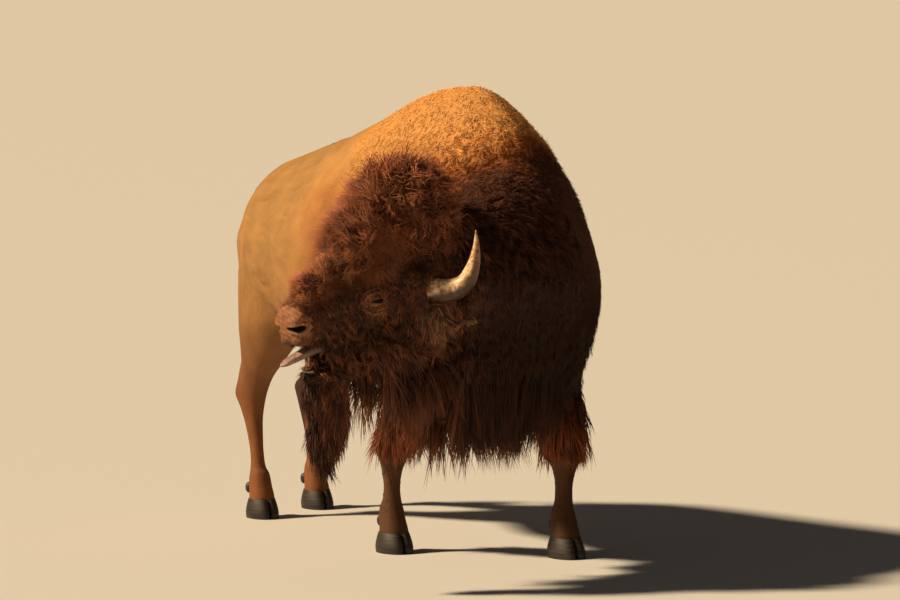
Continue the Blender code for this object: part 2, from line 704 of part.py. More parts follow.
def finish_for(name):
    """Which finish a piece has, from its name."""
    if "hoof" in name or "dewclaw" in name:
        return "hoof"
    for hard_or_wet in ("horn", "eye", "tongue"):
        if name.startswith(hard_or_wet):
            return hard_or_wet
    if name == "hump":
        return "hump_wool"
    if name.startswith(SHORT_HAIRED) and name != "tail_tassel":
        return "summer_coat"
    return "dark_wool"


def material(kind):
    colour, roughness = FINISHES[kind]
    made = bpy.data.materials.new(kind)
    made.use_nodes = True
    shader = made.node_tree.nodes["Principled BSDF"]
    shader.inputs["Base Color"].default_value = (*colour, 1.0)
    shader.inputs["Roughness"].default_value = roughness
    shader.inputs["Metallic"].default_value = 0.0
    return made


# ---------------------------------------------------------------- assembly
def whole_body():
    """Flesh and coat as one closed surface, cut level above the hooves."""
    masses = [trunk_mass(), neck_mass(), skull_mass(), lower_jaw_mass(), beard_mass(), belly_tuft_mass()]
    masses += bonnet_masses() + brow_masses() + cheek_masses() + tail_mass()
    for where in SIDES:
        masses += [foreleg_mass(where), hindleg_mass(where), ear_mass(where)]
    body = join_masses("body", masses, BODY_TRIANGLES, SMOOTHING)
    below = slab("below_coronets", Vector((0, 0, -1.0)), WORLD, (3.0, 3.0, 1.0 + HOOF_HEIGHT + GAP))
    boolean(body, below, "DIFFERENCE")
    bpy.data.objects.remove(below)
    return body


def add_hard(pieces, body, name, maker):
    """Makes a hard or wet piece and carves its room in the body. maker takes how much to grow the piece."""
    pieces[name] = maker(0.0)
    let_in(body, maker)


def add_feet(pieces, body):
    """Two claws and two dewclaws to each foot."""
    feet = [("fore", where, FORELEG_X, FORELEG_Y[where], *FORE_FOOT) for where in SIDES]
    feet += [("hind", where, HINDLEG_X[where], HINDLEG_Y[where], *HIND_FOOT) for where in SIDES]
    for pair, where, out, foot_y, size, fetlock in feet:
        foot_x = SIDES[where] * out
        for half, side in (("outer", SIDES[where]), ("inner", -SIDES[where])):
            claw = f"{pair}_hoof_{where}_{half}"
            pieces[claw] = hoof_claw(claw, foot_x, foot_y, side, size)
            stud = f"{pair}_dewclaw_{where}_{half}"
            add_hard(pieces, body, stud, partial(dewclaw, stud, foot_x, foot_y, side, fetlock))


def stand_on_origin(pieces):
    """Moves the whole bull so that the middle of its bounding box's floor is the origin."""
    corners = [vertex.co for piece in pieces.values() for vertex in piece.data.vertices]
    low = [min(corner[i] for corner in corners) for i in range(3)]
    high = [max(corner[i] for corner in corners) for i in range(3)]
    shift = Vector((-(low[0] + high[0]) / 2, -(low[1] + high[1]) / 2, -low[2]))
    for piece in pieces.values():
        piece.data.transform(Matrix.Translation(shift))


def main():
    body = whole_body()
    hard = {}
    for where in SIDES:
        add_hard(hard, body, "horn_" + where, partial(horn, where))
        add_hard(hard, body, "eye_" + where, partial(eye, where))
    add_hard(hard, body, "tongue", tongue)
    add_feet(hard, body)
    pieces = {**part_out(body), **hard}
    stand_on_origin(pieces)
    finishes = {kind: material(kind) for kind in FINISHES}
    for name, piece in pieces.items():
        piece.name = name
        piece.data.name = name
        piece.data.materials.clear()
        piece.data.materials.append(finishes[finish_for(name)])
        piece.data.polygons.foreach_set("material_index", [0] * len(piece.data.polygons))
        WORKSHOP.objects.unlink(piece)
        BULL.objects.link(piece)


for old in list(bpy.data.objects):
    bpy.data.objects.remove(old)
WORKSHOP = bpy.data.collections.new("workshop")
BULL = bpy.data.collections.new("bison_bull")
bpy.context.scene.collection.children.link(WORKSHOP)
bpy.context.scene.collection.children.link(BULL)
main()
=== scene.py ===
"""Bull bison, standing with its head turned to its right: one skin under a coat of solid tufts.

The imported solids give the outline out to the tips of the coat. The skin is those solids drawn in by the
coat's depth, with a finer head let into it. Tufts grow from the skin along the lie of the coat, in one
piece for each part of the body. Horns, eyes, tongue, teeth and hooves are pieces of their own.
"""

import math

import bmesh
import bpy
import numpy as np
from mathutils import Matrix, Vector


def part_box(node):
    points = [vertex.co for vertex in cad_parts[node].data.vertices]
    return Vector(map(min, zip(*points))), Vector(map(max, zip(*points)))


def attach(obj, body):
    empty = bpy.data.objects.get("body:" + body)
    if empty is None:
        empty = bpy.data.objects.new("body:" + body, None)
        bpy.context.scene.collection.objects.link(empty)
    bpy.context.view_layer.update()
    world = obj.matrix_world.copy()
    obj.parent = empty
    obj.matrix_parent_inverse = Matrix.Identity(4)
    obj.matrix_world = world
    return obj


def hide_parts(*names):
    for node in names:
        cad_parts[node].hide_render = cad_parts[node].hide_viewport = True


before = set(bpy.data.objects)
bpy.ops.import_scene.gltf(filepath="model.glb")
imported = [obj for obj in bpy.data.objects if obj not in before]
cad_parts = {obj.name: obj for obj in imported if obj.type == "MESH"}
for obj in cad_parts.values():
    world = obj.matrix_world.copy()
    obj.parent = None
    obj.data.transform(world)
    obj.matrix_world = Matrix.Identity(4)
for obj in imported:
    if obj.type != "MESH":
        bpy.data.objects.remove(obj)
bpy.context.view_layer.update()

HARD = ("horn", "eye", "tongue", "fore_hoof", "hind_hoof", "fore_dewclaw", "hind_dewclaw")
FLESH = [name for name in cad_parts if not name.startswith(HARD)]
SIDES = {"left": 1.0, "right": -1.0}
MM = 0.001
BODY_VOXEL, SKIN_VOXEL = 11 * MM, 7 * MM
THIN_TRIANGLES = 58000  # of the skin, before its face is refined
PATCH = 3 * MM  # one tuft's share of a unit bake layout
CAMERA_TURN, CAMERA_RISE = math.radians(-30.0), math.radians(4.5)
CAMERA_AIM, CAMERA_AWAY = Vector((0.27134, -0.38903, 0.98056)), 18.0
FLOOR_HALF = 500


# ---------------------------------------------------------------- small tools
def linear(code):
    """Linear colour of an sRGB hex code."""
    value = np.array([int(code[i : i + 2], 16) for i in (1, 3, 5)]) / 255.0
    return np.where(value <= 0.04045, value / 12.92, ((value + 0.055) / 1.055) ** 2.4)


def ease(value, low, high):
    """0 up to low, 1 from high, and the smooth cubic 3t^2 - 2t^3 between."""
    t = np.clip((value - low) / (high - low), 0.0, 1.0)
    return t * t * (3.0 - 2.0 * t)


def fall(value, low, high):
    """1 up to low, 0 from high, and the same smooth cubic between."""
    return ease(-value, -high, -low)


def bell(away, width):
    """1 in the middle, falling off on both sides: e to the power -(away / width)^2."""
    return np.exp(-((away / width) ** 2))


def unit(vectors):
    """Vectors scaled to length one along their last axis."""
    return vectors / np.maximum(np.linalg.norm(vectors, axis=-1, keepdims=True), 1e-9)


def ripple(points, wavelength, seed):
    """Smooth irregular field of about unit size: seven plane sine waves in scattered directions, added."""
    rng = np.random.default_rng(seed)
    waves = unit(rng.normal(size=(7, 3))) * (2 * np.pi / wavelength) * rng.uniform(0.7, 1.4, (7, 1))
    return np.sin(points @ waves.T + rng.uniform(0, 2 * np.pi, 7)).sum(-1) / 2.2


def mix(first, second, share):
    """First where share is 0, second where it is 1, and their weighted mean between."""
    return first * (1 - share) + second * share


def clump_pull(points):
    """Slope of the field of clumps: hair bends along it, towards the middle of a clump."""
    step, ahead = 0.004, clumps(points)
    return np.stack([clumps(points + step * axis) - ahead for axis in np.eye(3)], 1) / step * 0.016


def clumps(points):
    """High at the middle of a clump of wool, low in the partings between clumps."""
    return ripple(points, 0.075, 20) + 0.5 * ripple(points, 0.040, 21)


def through(keys, values, at):
    """Smooth curve through values at keys, read at the places in at: a cubic with averaged slopes."""
    keys, values = np.asarray(keys, float), np.asarray(values, float)
    if values.ndim == 1:
        values = values[:, None]
    slopes = np.gradient(values, keys, axis=0)
    at = np.clip(np.asarray(at, float), keys[0], keys[-1])
    span = np.clip(np.searchsorted(keys, at) - 1, 0, len(keys) - 2)
    width = (keys[span + 1] - keys[span])[:, None]
    t = (at[:, None] - keys[span][:, None]) / width
    a, b, ta, tb = values[span], values[span + 1], slopes[span] * width, slopes[span + 1] * width
    blend = (2 * t**3 - 3 * t**2 + 1) * a + (3 * t**2 - 2 * t**3) * b
    return blend + (t**3 - 2 * t**2 + t) * ta + (t**3 - t**2) * tb


def corners_of(node):
    """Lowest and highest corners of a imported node's box."""
    return [np.array(corner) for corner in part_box(node)]


def middle(node):
    """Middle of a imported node's box."""
    low, high = corners_of(node)
    return (low + high) / 2


def nearest(points, places):
    """Distance of points from the nearer of two places."""
    return np.minimum(*(np.linalg.norm(points - place, axis=-1) for place in places))


# ---------------------------------------------------------------- the bull's own frames
HUMP_LOW, HUMP_HIGH = corners_of("hump")
BODY_ORIGIN = np.array([(HUMP_LOW[0] + HUMP_HIGH[0]) / 2, HUMP_HIGH[1] - 0.55, 0.0])  # under the withers
EYE_LEFT, EYE_RIGHT = middle("eye_left"), middle("eye_right")
EARS = [middle("ear_" + side) for side in SIDES]
EYE_LINE = (EYE_LEFT + EYE_RIGHT) / 2
EYE_SPREAD = np.linalg.norm(EYE_LEFT - EYE_RIGHT) / 2
EYE_RADIUS = 0.021
HEAD_DIP = math.radians(13.0)  # muzzle below level
LEFT = unit(EYE_LEFT - EYE_RIGHT)
LEVEL_AHEAD = np.cross(LEFT, [0, 0, 1])
AHEAD = LEVEL_AHEAD * math.cos(HEAD_DIP) - np.array([0, 0, 1]) * math.sin(HEAD_DIP)
UP = np.cross(AHEAD, LEFT)
DOWN = np.array([0.0, 0.0, -1.0])
JAW_HINGE = (-0.13, -0.06)
JAW_OPEN = math.radians(13.0)


def head_point(forward, left, up):
    """World place of points given ahead, left and up of the middle between the eyes."""
    parts = [np.asarray(v, float)[..., None] * axis for v, axis in ((forward, AHEAD), (left, LEFT), (up, UP))]
    return EYE_LINE + parts[0] + parts[1] + parts[2]


def both_sides(forward, left, up):
    """A place in the left half of the head, and its mirror."""
    return [head_point(forward, side * left, up) for side in SIDES.values()]


def in_head(points):
    """Ahead, left and up of the middle between the eyes, for points of the world."""
    away = points - EYE_LINE
    return away @ AHEAD, away @ LEFT, away @ UP


def in_body(points):
    """Left, back and up of the floor under the withers, for points of the world."""
    away = points - BODY_ORIGIN
    return away[..., 0], away[..., 1], away[..., 2]


def from_eye(points, forward=0.0, up=0.0):
    """Distance of points from the middle of the nearer eye, or from a place moved ahead and up of it."""
    ahead, left, rise = in_head(points)
    return np.sqrt((ahead - forward) ** 2 + (rise - up) ** 2 + (np.abs(left) - EYE_SPREAD) ** 2)


def hung(ahead, rise, angle):
    """Ahead and up in the head, turned down about the jaw's hinge by an angle."""
    a, r, c, s = ahead - JAW_HINGE[0], rise - JAW_HINGE[1], math.cos(angle), math.sin(angle)
    return JAW_HINGE[0] + a * c + r * s, JAW_HINGE[1] - a * s + r * c


def lean(angle):
    """Ahead and up of the head turned by an angle in degrees about its left axis, muzzle down."""
    c, s = math.cos(math.radians(angle)), math.sin(math.radians(angle))
    return c * AHEAD - s * UP, s * AHEAD + c * UP


def past_nape(points):
    """How far points lie ahead of the flat cut between neck and head."""
    return (points - head_point(-0.375, 0, 0)) @ lean(-15.0)[0]


def above_brow(points):
    """How far points lie above the flat cut under the bonnet."""
    return (points - head_point(0, 0, 0.085)) @ lean(12.0)[1]


def below_chin(points):
    """How far points lie below the level cut above the beard."""
    return head_point(0.18, 0, -0.325)[2] - points[..., 2]


def past_collar(points):
    """How far points lie ahead of the flat cut between chest and neck."""
    nape = unit(np.array([-0.40, -1.0, 0.0]))
    return (points - BODY_ORIGIN - np.array([-0.06, -0.60, 1.0])) @ nape


# ---------------------------------------------------------------- meshes from arrays
def mesh_from(name, points, corners, totals):
    """Mesh from arrays of points, corner numbers and the corner count of each face."""
    mesh = bpy.data.meshes.new(name)
    mesh.vertices.add(len(points))
    mesh.vertices.foreach_set("co", np.ascontiguousarray(points, np.float32).ravel())
    mesh.loops.add(len(corners))
    mesh.loops.foreach_set("vertex_index", np.ascontiguousarray(corners, np.int32))
    totals = np.asarray(totals, np.int32)
    mesh.polygons.add(len(totals))
    mesh.polygons.foreach_set("loop_start", np.concatenate([[0], np.cumsum(totals)[:-1]]).astype(np.int32))
    mesh.update(calc_edges=True)
    mesh.validate()
    return mesh


def grid_faces(rows, count):
    """Four-cornered faces of a grid that closes round its second direction."""
    row, i = np.meshgrid(np.arange(rows - 1), np.arange(count), indexing="ij")
    j = (i + 1) % count
    return np.stack([row * count + i, row * count + j, (row + 1) * count + j, (row + 1) * count + i], -1)


def closed_loft(name, rings):
    """Closed mesh through rings (rows, count, 3), with a fan to the middle of each end ring."""
    rings = np.asarray(rings, float)
    rows, count = rings.shape[:2]
    points = np.concatenate([rings.reshape(-1, 3), [rings[0].mean(0)], [rings[-1].mean(0)]])
    sides = grid_faces(rows, count).reshape(-1, 4)
    i = np.arange(count)
    j = (i + 1) % count
    first = np.stack([np.full(count, rows * count), j, i], -1)
    final = np.stack([np.full(count, rows * count + 1), (rows - 1) * count + i, (rows - 1) * count + j], -1)
    corners = np.concatenate([sides.ravel(), first.ravel(), final.ravel()])
    mesh = mesh_from(name, points, corners, [4] * len(sides) + [3] * (2 * count))
    work = bmesh.new()
    work.from_mesh(mesh)
    bmesh.ops.recalc_face_normals(work, faces=work.faces)
    work.to_mesh(mesh)
    work.free()
    return mesh


def rounded(side, above, below, full, count):
    """Outline as a superellipse: half-width side, reaching above and below its widest line."""
    turn = np.linspace(0, 2 * math.pi, count, endpoint=False)
    across, rise = np.sin(turn), np.cos(turn)
    reach = (np.abs(across) ** full + np.abs(rise) ** full) ** (-1 / full)
    return side * across * reach, np.where(rise >= 0, above, below) * rise * reach


def place(name, mesh):
    """Object for a mesh, linked to the scene and smooth."""
    made = bpy.data.objects.new(name, mesh)
    bpy.context.scene.collection.objects.link(made)
    mesh.polygons.foreach_set("use_smooth", [True] * len(mesh.polygons))
    return made


def read(items, name, width, kind=np.float32):
    """Values of a mesh's points, edges or triangles as an array of rows."""
    values = np.empty(len(items) * width, kind)
    items.foreach_get(name, values)
    return values.reshape(-1, width)


def points_of(mesh):
    """Places of a mesh's points."""
    return read(mesh.vertices, "co", 3).astype(float)


def normals_of(mesh):
    """Outward ways at a mesh's points."""
    return read(mesh.vertex_normals, "vector", 3).astype(float)


def edges_of(mesh):
    """Pairs of points that a mesh's edges join."""
    return read(mesh.edges, "vertices", 2, np.int32)


def set_points(mesh, points):
    """Moves a mesh's points."""
    mesh.vertices.foreach_set("co", np.ascontiguousarray(points, np.float32).ravel())
    mesh.update()


def relax(points, edges, rounds, weight=0.5):
    """Moves each point part of the way to the mean of its neighbours, a few times over."""
    ends = np.concatenate([edges, edges[:, ::-1]])
    share = np.maximum(np.bincount(ends[:, 0], minlength=len(points)), 1)[:, None]
    weight = np.asarray(weight, float)
    weight = weight if weight.ndim == 0 else weight[:, None]
    for _ in range(rounds):
        moved = points[ends[:, 1]]
        total = np.stack([np.bincount(ends[:, 0], moved[:, k], len(points)) for k in range(3)], 1)
        points = points + (total / share - points) * weight
    return points


def with_modifier(mesh, kind, keep=(), **settings):
    """The mesh after one modifier, which may spare the points numbered in keep."""
    carrier = bpy.data.objects.new("carrier", mesh)
    bpy.context.scene.collection.objects.link(carrier)
    if len(keep):
        carrier.vertex_groups.new(name="keep").add([int(i) for i in keep], 1.0, "REPLACE")
    change = carrier.modifiers.new("change", kind)
    for key, value in settings.items():
        setattr(change, key, value)
    graph = bpy.context.evaluated_depsgraph_get()
    result = bpy.data.meshes.new_from_object(carrier.evaluated_get(graph))
    bpy.data.objects.remove(carrier)
    return result


def joined(name, parts):
    """One mesh that holds the given ones, which are removed."""
    work = bmesh.new()
    for part in parts:
        work.from_mesh(part)
        bpy.data.meshes.remove(part)
    mesh = bpy.data.meshes.new(name)
    work.to_mesh(mesh)
    work.free()
    return mesh


# ---------------------------------------------------------------- depth of the coat
def coat_depth(points):
    """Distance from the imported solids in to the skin: deep in bonnet, cheeks and throat, thin behind."""
    _, y, z = in_body(points)
    forward, _, _ = in_head(points)
    fore = fall(y, 0.45, 0.62)
    throat = fall(z, 0.85, 1.10)
    depth = 0.008 + fore * (0.006 + 0.014 * throat)
    haired_leg = 0.024 * ease(z, 0.36, 0.42)
    depth = mix(depth, 0.004 + fore * haired_leg, fall(z, 0.50, 0.70))
    neck = ease(past_collar(points), -0.08, 0.12)
    depth = np.maximum(depth, neck * (0.018 + 0.027 * throat))
    depth = depth + 0.060 * ease(past_collar(points), -0.16, 0.20) * ease(z, 1.02, 1.44)
    head = ease(past_nape(points), -0.03, 0.05)
    depth = mix(depth, 0.045 - 0.037 * ease(forward, 0.10, 0.26), head)
    bonnet = head * ease(above_brow(points), -0.02, 0.06)
    depth = mix(depth, 0.055 - 0.030 * ease(forward, 0.05, 0.22), bonnet)
    beard = head * ease(below_chin(points), -0.03, 0.05) * (forward > 0.0)
    depth = mix(depth, 0.012 + 0.022 * ease(below_chin(points), 0.20, 0.03), beard)
    depth = np.where(nearest(points, EARS) < 0.13, np.minimum(depth, 0.013), depth)
    return mix(depth, 0.009, ease(y, 1.46, 1.50) * fall(z, 1.20, 1.30))


def drawn_in_body():
    """Flesh nodes joined into one surface and drawn in by the coat's depth, in small steps."""
    parts = []
    for name in FLESH:
        copy = bmesh.new()
        copy.from_mesh(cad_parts[name].data)
        bmesh.ops.remove_doubles(copy, verts=copy.verts, dist=0.02 * MM)
        part = bpy.data.meshes.new(name + "_copy")
        copy.to_mesh(part)
        copy.free()
        # nodes meet face to face, so each swells by a millimetre to overlap its fellows
        set_points(part, points_of(part) + normals_of(part) * 1.0 * MM)
        parts.append(part)
    mesh = with_modifier(joined("flesh", parts), "REMESH", mode="VOXEL", voxel_size=BODY_VOXEL)
    edges = edges_of(mesh)
    points = relax(points_of(mesh), edges, 10, 0.5)
    depth = coat_depth(points)
    steps = 6
    for _ in range(steps):
        set_points(mesh, points)
        points = points - normals_of(mesh) * (depth / steps)[:, None]
        points = relax(points, edges, 1, 0.4)
    set_points(mesh, points)
    return mesh


# ---------------------------------------------------------------- head of skin and bone
def head_loft(name, sizes, steps, count=64, hang=0.0):
    """Mass along the head from rows of place ahead, top, widest line, bottom, half-width and fullness."""
    keys = [row[0] for row in sizes]
    stops = np.linspace(keys[0], keys[-1], steps)
    rings = []
    for forward, row in zip(stops, through(keys, [row[1:] for row in sizes], stops)):
        top, widest, bottom, side, full = row
        across, rise = rounded(side, top - widest, widest - bottom, full, count)
        ahead, rise = hung(np.full(count, forward), widest + rise, hang)
        rings.append(head_point(ahead, across, rise))
    return closed_loft(name, rings)


def skull():
    """Brain case, face and upper jaw."""
    sizes = [
        (-0.34, 0.02, -0.06, -0.16, 0.105, 2.0),
        (-0.28, 0.08, -0.06, -0.21, 0.145, 2.1),
        (-0.18, 0.115, -0.05, -0.235, 0.150, 2.2),
        (-0.08, 0.122, -0.03, -0.225, 0.140, 2.3),
        (0.00, 0.110, -0.01, -0.185, 0.126, 2.3),
        (0.08, 0.088, -0.02, -0.148, 0.104, 2.3),
        (0.17, 0.068, -0.02, -0.120, 0.086, 2.4),
        (0.230, 0.064, -0.022, -0.102, 0.077, 2.4),
        (0.268, 0.063, -0.026, -0.098, 0.077, 2.3),
        (0.292, 0.057, -0.028, -0.092, 0.070, 2.2),
        (0.309, 0.045, -0.032, -0.084, 0.056, 2.1),
        (0.320, 0.028, -0.034, -0.072, 0.040, 2.0),
        (0.327, 0.000, -0.036, -0.056, 0.020, 2.0),
    ]
    return head_loft("skull", sizes, 60)


def lower_jaw():
    """Lower jaw, hung open about its hinge."""
    sizes = [
        (-0.20, -0.07, -0.15, -0.24, 0.100, 2.0),
        (-0.12, -0.07, -0.17, -0.27, 0.112, 2.1),
        (0.00, -0.095, -0.17, -0.25, 0.095, 2.1),
        (0.09, -0.122, -0.165, -0.210, 0.074, 2.2),
        (0.18, -0.120, -0.150, -0.186, 0.058, 2.2),
        (0.245, -0.110, -0.138, -0.175, 0.054, 2.3),
        (0.290, -0.106, -0.126, -0.160, 0.045, 2.3),
        (0.306, -0.112, -0.124, -0.142, 0.030, 2.0),
    ]
    return head_loft("lower_jaw", sizes, 50, 48, JAW_OPEN)


def lump(name, centre, radii, count=32):
    """Closed ball about a place in the head, with radii ahead, left and up."""
    polar = np.linspace(0.02, np.pi - 0.02, count)[:, None]
    turn = np.linspace(0, 2 * np.pi, count, endpoint=False)[None, :]
    ahead = centre[0] + radii[0] * np.cos(polar) * np.ones_like(turn)
    left = centre[1] + radii[1] * np.sin(polar) * np.cos(turn)
    up = centre[2] + radii[2] * np.sin(polar) * np.sin(turn)
    return closed_loft(name, head_point(ahead, left, up))


def head_masses():
    """Skull, jaw and back of the mouth; on each side brow, cheekbone, mouth corner, nostril wing and lip."""
    made = [skull(), lower_jaw(), lump("back_of_mouth", (0.065, 0.0, -0.150), (0.085, 0.066, 0.050))]
    pairs = [
        ("brow", (-0.012, 0.112, 0.036), (0.055, 0.026, 0.022)),
        ("cheekbone", (0.004, 0.108, -0.040), (0.060, 0.026, 0.022)),
        ("mouth_corner", (0.125, 0.062, -0.145), (0.095, 0.017, 0.052)),
        ("nostril_wing", (0.282, 0.047, -0.008), (0.042, 0.033, 0.040)),
        ("upper_lip", (0.276, 0.038, -0.072), (0.046, 0.034, 0.024)),
    ]
    for side in SIDES.values():
        made += [lump(name, (forward, side * left, up), radii) for name, (forward, left, up), radii in pairs]
    return made


def pasterns():
    """Ankle of each foot, from the top of the hooves to above the fetlock, fuller behind for the dewclaws."""
    # half-width, reach ahead, reach behind and shift back, from the hooves up
    sizes = [
        (0.052, 0.056, 0.052, 0.0),
        (0.049, 0.051, 0.056, 0.004),
        (0.044, 0.046, 0.060, 0.010),
        (0.042, 0.042, 0.057, 0.016),
        (0.036, 0.036, 0.044, 0.020),
    ]
    made = []
    for pair in ("fore", "hind"):
        for where in SIDES:
            toe, heel = corners_of(f"{pair}_hoof_{where}_outer")
            inner = middle(f"{pair}_hoof_{where}_inner")
            size = (heel[1] - toe[1]) / 0.144
            x0 = ((toe[0] + heel[0]) / 2 + inner[0]) / 2
            y0 = toe[1] + 0.082 * size
            rings = []
            heights = np.linspace(0.066, 0.190, 14)
            keys = np.linspace(heights[0], heights[-1], len(sizes))
            for z, (wide, front, back, shift) in zip(heights, through(keys, sizes, heights)):
                x, y = rounded(wide, back, front, 2.3, 32)
                rings.append(np.stack([x0 + x * size, y0 + y * size + shift, np.full_like(x, z)], 1))
            made.append(closed_loft("pastern", rings))
    return made


def detail(points):
    """Fineness of the skin: 3 at the lids, 2 round eyes, nostrils and lips, 1 on the face, 0 elsewhere."""
    forward, eye = in_head(points)[0], from_eye(points)
    fine = (eye < 0.052) | (forward > 0.240)
    face = (eye < 0.080) | (forward > 0.20)
    return np.where(eye < 0.027, 3, np.where(fine, 2, np.where(face, 1, 0))) * (past_nape(points) > 0.0)


def refine(mesh, level):
    """Splits in four the triangles whose corners need at least the given level of detail."""
    need = detail(points_of(mesh)) >= level
    work = bmesh.new()
    work.from_mesh(mesh)
    work.verts.ensure_lookup_table()
    edges = [edge for edge in work.edges if need[edge.verts[0].index] and need[edge.verts[1].index]]
    bmesh.ops.subdivide_edges(work, edges=edges, cuts=1, use_grid_fill=True)
    bmesh.ops.triangulate(work, faces=[face for face in work.faces if len(face.verts) > 3])
    work.to_mesh(mesh)
    work.free()
    return mesh


def sculpt_trunk(points, normals):
    """Rise of the hide over bone and muscle of the hindquarters, and its fine upright folds."""
    x, y, z = in_body(points)
    side = np.abs(x)

    def swell(y0, z0, long, tall, turn, height):
        """Bell over an ellipse on the flank, turned by an angle."""
        c, s = math.cos(turn), math.sin(turn)
        a, b = (y - y0) * c + (z - z0) * s, (z - z0) * c - (y - y0) * s
        return height * np.exp(-((a / long) ** 2) - (b / tall) ** 2) * ease(side, 0.05, 0.14)

    rise = swell(0.98, 1.30, 0.07, 0.10, 0.5, 0.016)  # point of the hip
    rise += swell(1.34, 1.12, 0.07, 0.06, 0.0, 0.010)  # pin bone
    rise += swell(0.86, 0.98, 0.12, 0.16, -0.4, -0.020)  # hollow of the flank
    rise += swell(1.12, 0.93, 0.14, 0.20, -0.3, 0.012)  # thigh
    rise += swell(0.99, 0.76, 0.05, 0.16, -0.35, -0.008)  # groove before the thigh
    rise += swell(0.50, 0.95, 0.26, 0.20, 0.0, 0.010)  # ribs
    behind = ease(y, 0.45, 0.70) * ease(z, 0.62, 0.80)
    wander = ripple(points, 0.30, 5) * 0.02
    folds = np.sin(2 * np.pi * (y + wander + 0.10 * (1.3 - z)) / 0.075)
    folds = folds * ease(ripple(points, 0.35, 6), 0.0, 1.2)
    rise += behind * 0.0034 * folds
    return points + normals * rise[:, None]


def sculpt_legs(points, normals):
    """Hollow before the hind tendon, point of the hock, and a groove down each cannon by bone and sinew."""
    beside, y, z = np.abs(normals[:, 0]), points[:, 1], points[:, 2]
    rise = np.zeros(len(points))

    def by_leg(low, high):
        """1 near the upright line of a leg's cannon."""
        return fall(np.abs(points[:, 0] - (low[0] + high[0]) / 2), 0.13, 0.16)

    def groove(near, sinew):
        """Furrow where sinew, the distance from the sinew's edge, is nothing."""
        return near * beside * 0.0055 * bell(sinew, 0.011) * ease(z, 0.15, 0.20)

    for where in SIDES:
        low, high = corners_of("hind_cannon_" + where)
        near = by_leg(low, high)
        behind, above = y - (high[1] - 0.030), z - (high[2] + 0.030)
        rise += near * 0.010 * bell(np.hypot(behind, above), 0.034)
        hollow = behind + 0.052 + 0.30 * (above - 0.10)
        rise -= near * beside * 0.011 * bell(hollow, 0.020) * bell(above - 0.10, 0.085)
        rise -= groove(near, y - (low[1] + 0.118 + 0.26 * (z - 0.14))) * fall(z, 0.38, 0.44)
        low, high = corners_of("fore_cannon_" + where)
        near = by_leg(low, high) * fall(z, 0.36, 0.42)
        rise -= groove(near, y - ((low[1] + high[1]) / 2 + 0.022))
    return points + normals * rise[:, None]


def nostril(points):
    """Nostril as a bent drop laid round the end of the muzzle: 1 at its rim, with places along and across.
    Along is the turn about an upright line in the muzzle times 0.072; the drop widens towards its back."""
    forward, left, up = in_head(points)
    turn = np.arctan2(np.abs(left), forward - 0.243)
    a = (turn - 0.70) * 0.072
    b = up + 0.028 - 4.0 * a**2 + 0.05 * a
    half = 0.0080 + 0.0046 * ease(a, -0.030, 0.022)
    return np.sqrt((a / 0.0340) ** 2 + (b / half) ** 2), a, b


def eye_folds(points):
    """Height of the folds of skin in arcs round the eye, with how far out each point is: 1 on the edge of the
    almond opening, and the plain distance from its middle."""
    forward, _, up = in_head(points)
    f, u = forward - 0.001, up + 0.002 - 0.10 * forward
    almond = np.sqrt((f / 0.0190) ** 2 + (u / np.where(u > 0, 0.0060, 0.0066)) ** 2)
    radius, angle = np.sqrt(f**2 + u**2), np.arctan2(u, f)
    upper, lower = ease(np.sin(angle), -0.15, 0.55), fall(np.sin(angle), -0.6, 0.0)
    wave = 0.0
    # each fold: distance from the middle of the eye, height, thickness, and the half it lies in
    for distance, height, thick, where in (
        (0.0262, -0.0040, 0.0018, upper),
        (0.0305, 0.0062, 0.0034, upper),
        (0.0372, -0.0048, 0.0022, upper),
        (0.0430, 0.0060, 0.0040, upper),
        (0.0510, -0.0044, 0.0026, upper),
        (0.0570, 0.0040, 0.0036, upper),
        (0.0252, -0.0030, 0.0015, lower),
        (0.0288, 0.0036, 0.0020, lower),
        (0.0328, -0.0034, 0.0016, lower),
        (0.0372, 0.0038, 0.0024, lower),
        (0.0422, -0.0030, 0.0018, lower),
        (0.0470, 0.0024, 0.0022, lower),
    ):
        ring = distance * (1 + 0.05 * np.sin(3 * angle + distance * 900) + 0.16 * np.cos(angle - 0.5))
        wave = wave + height * bell(radius - ring, thick) * where
    return wave + 0.0011 * ripple(points, 0.010, 43) * ease(radius, 0.022, 0.030), almond, radius


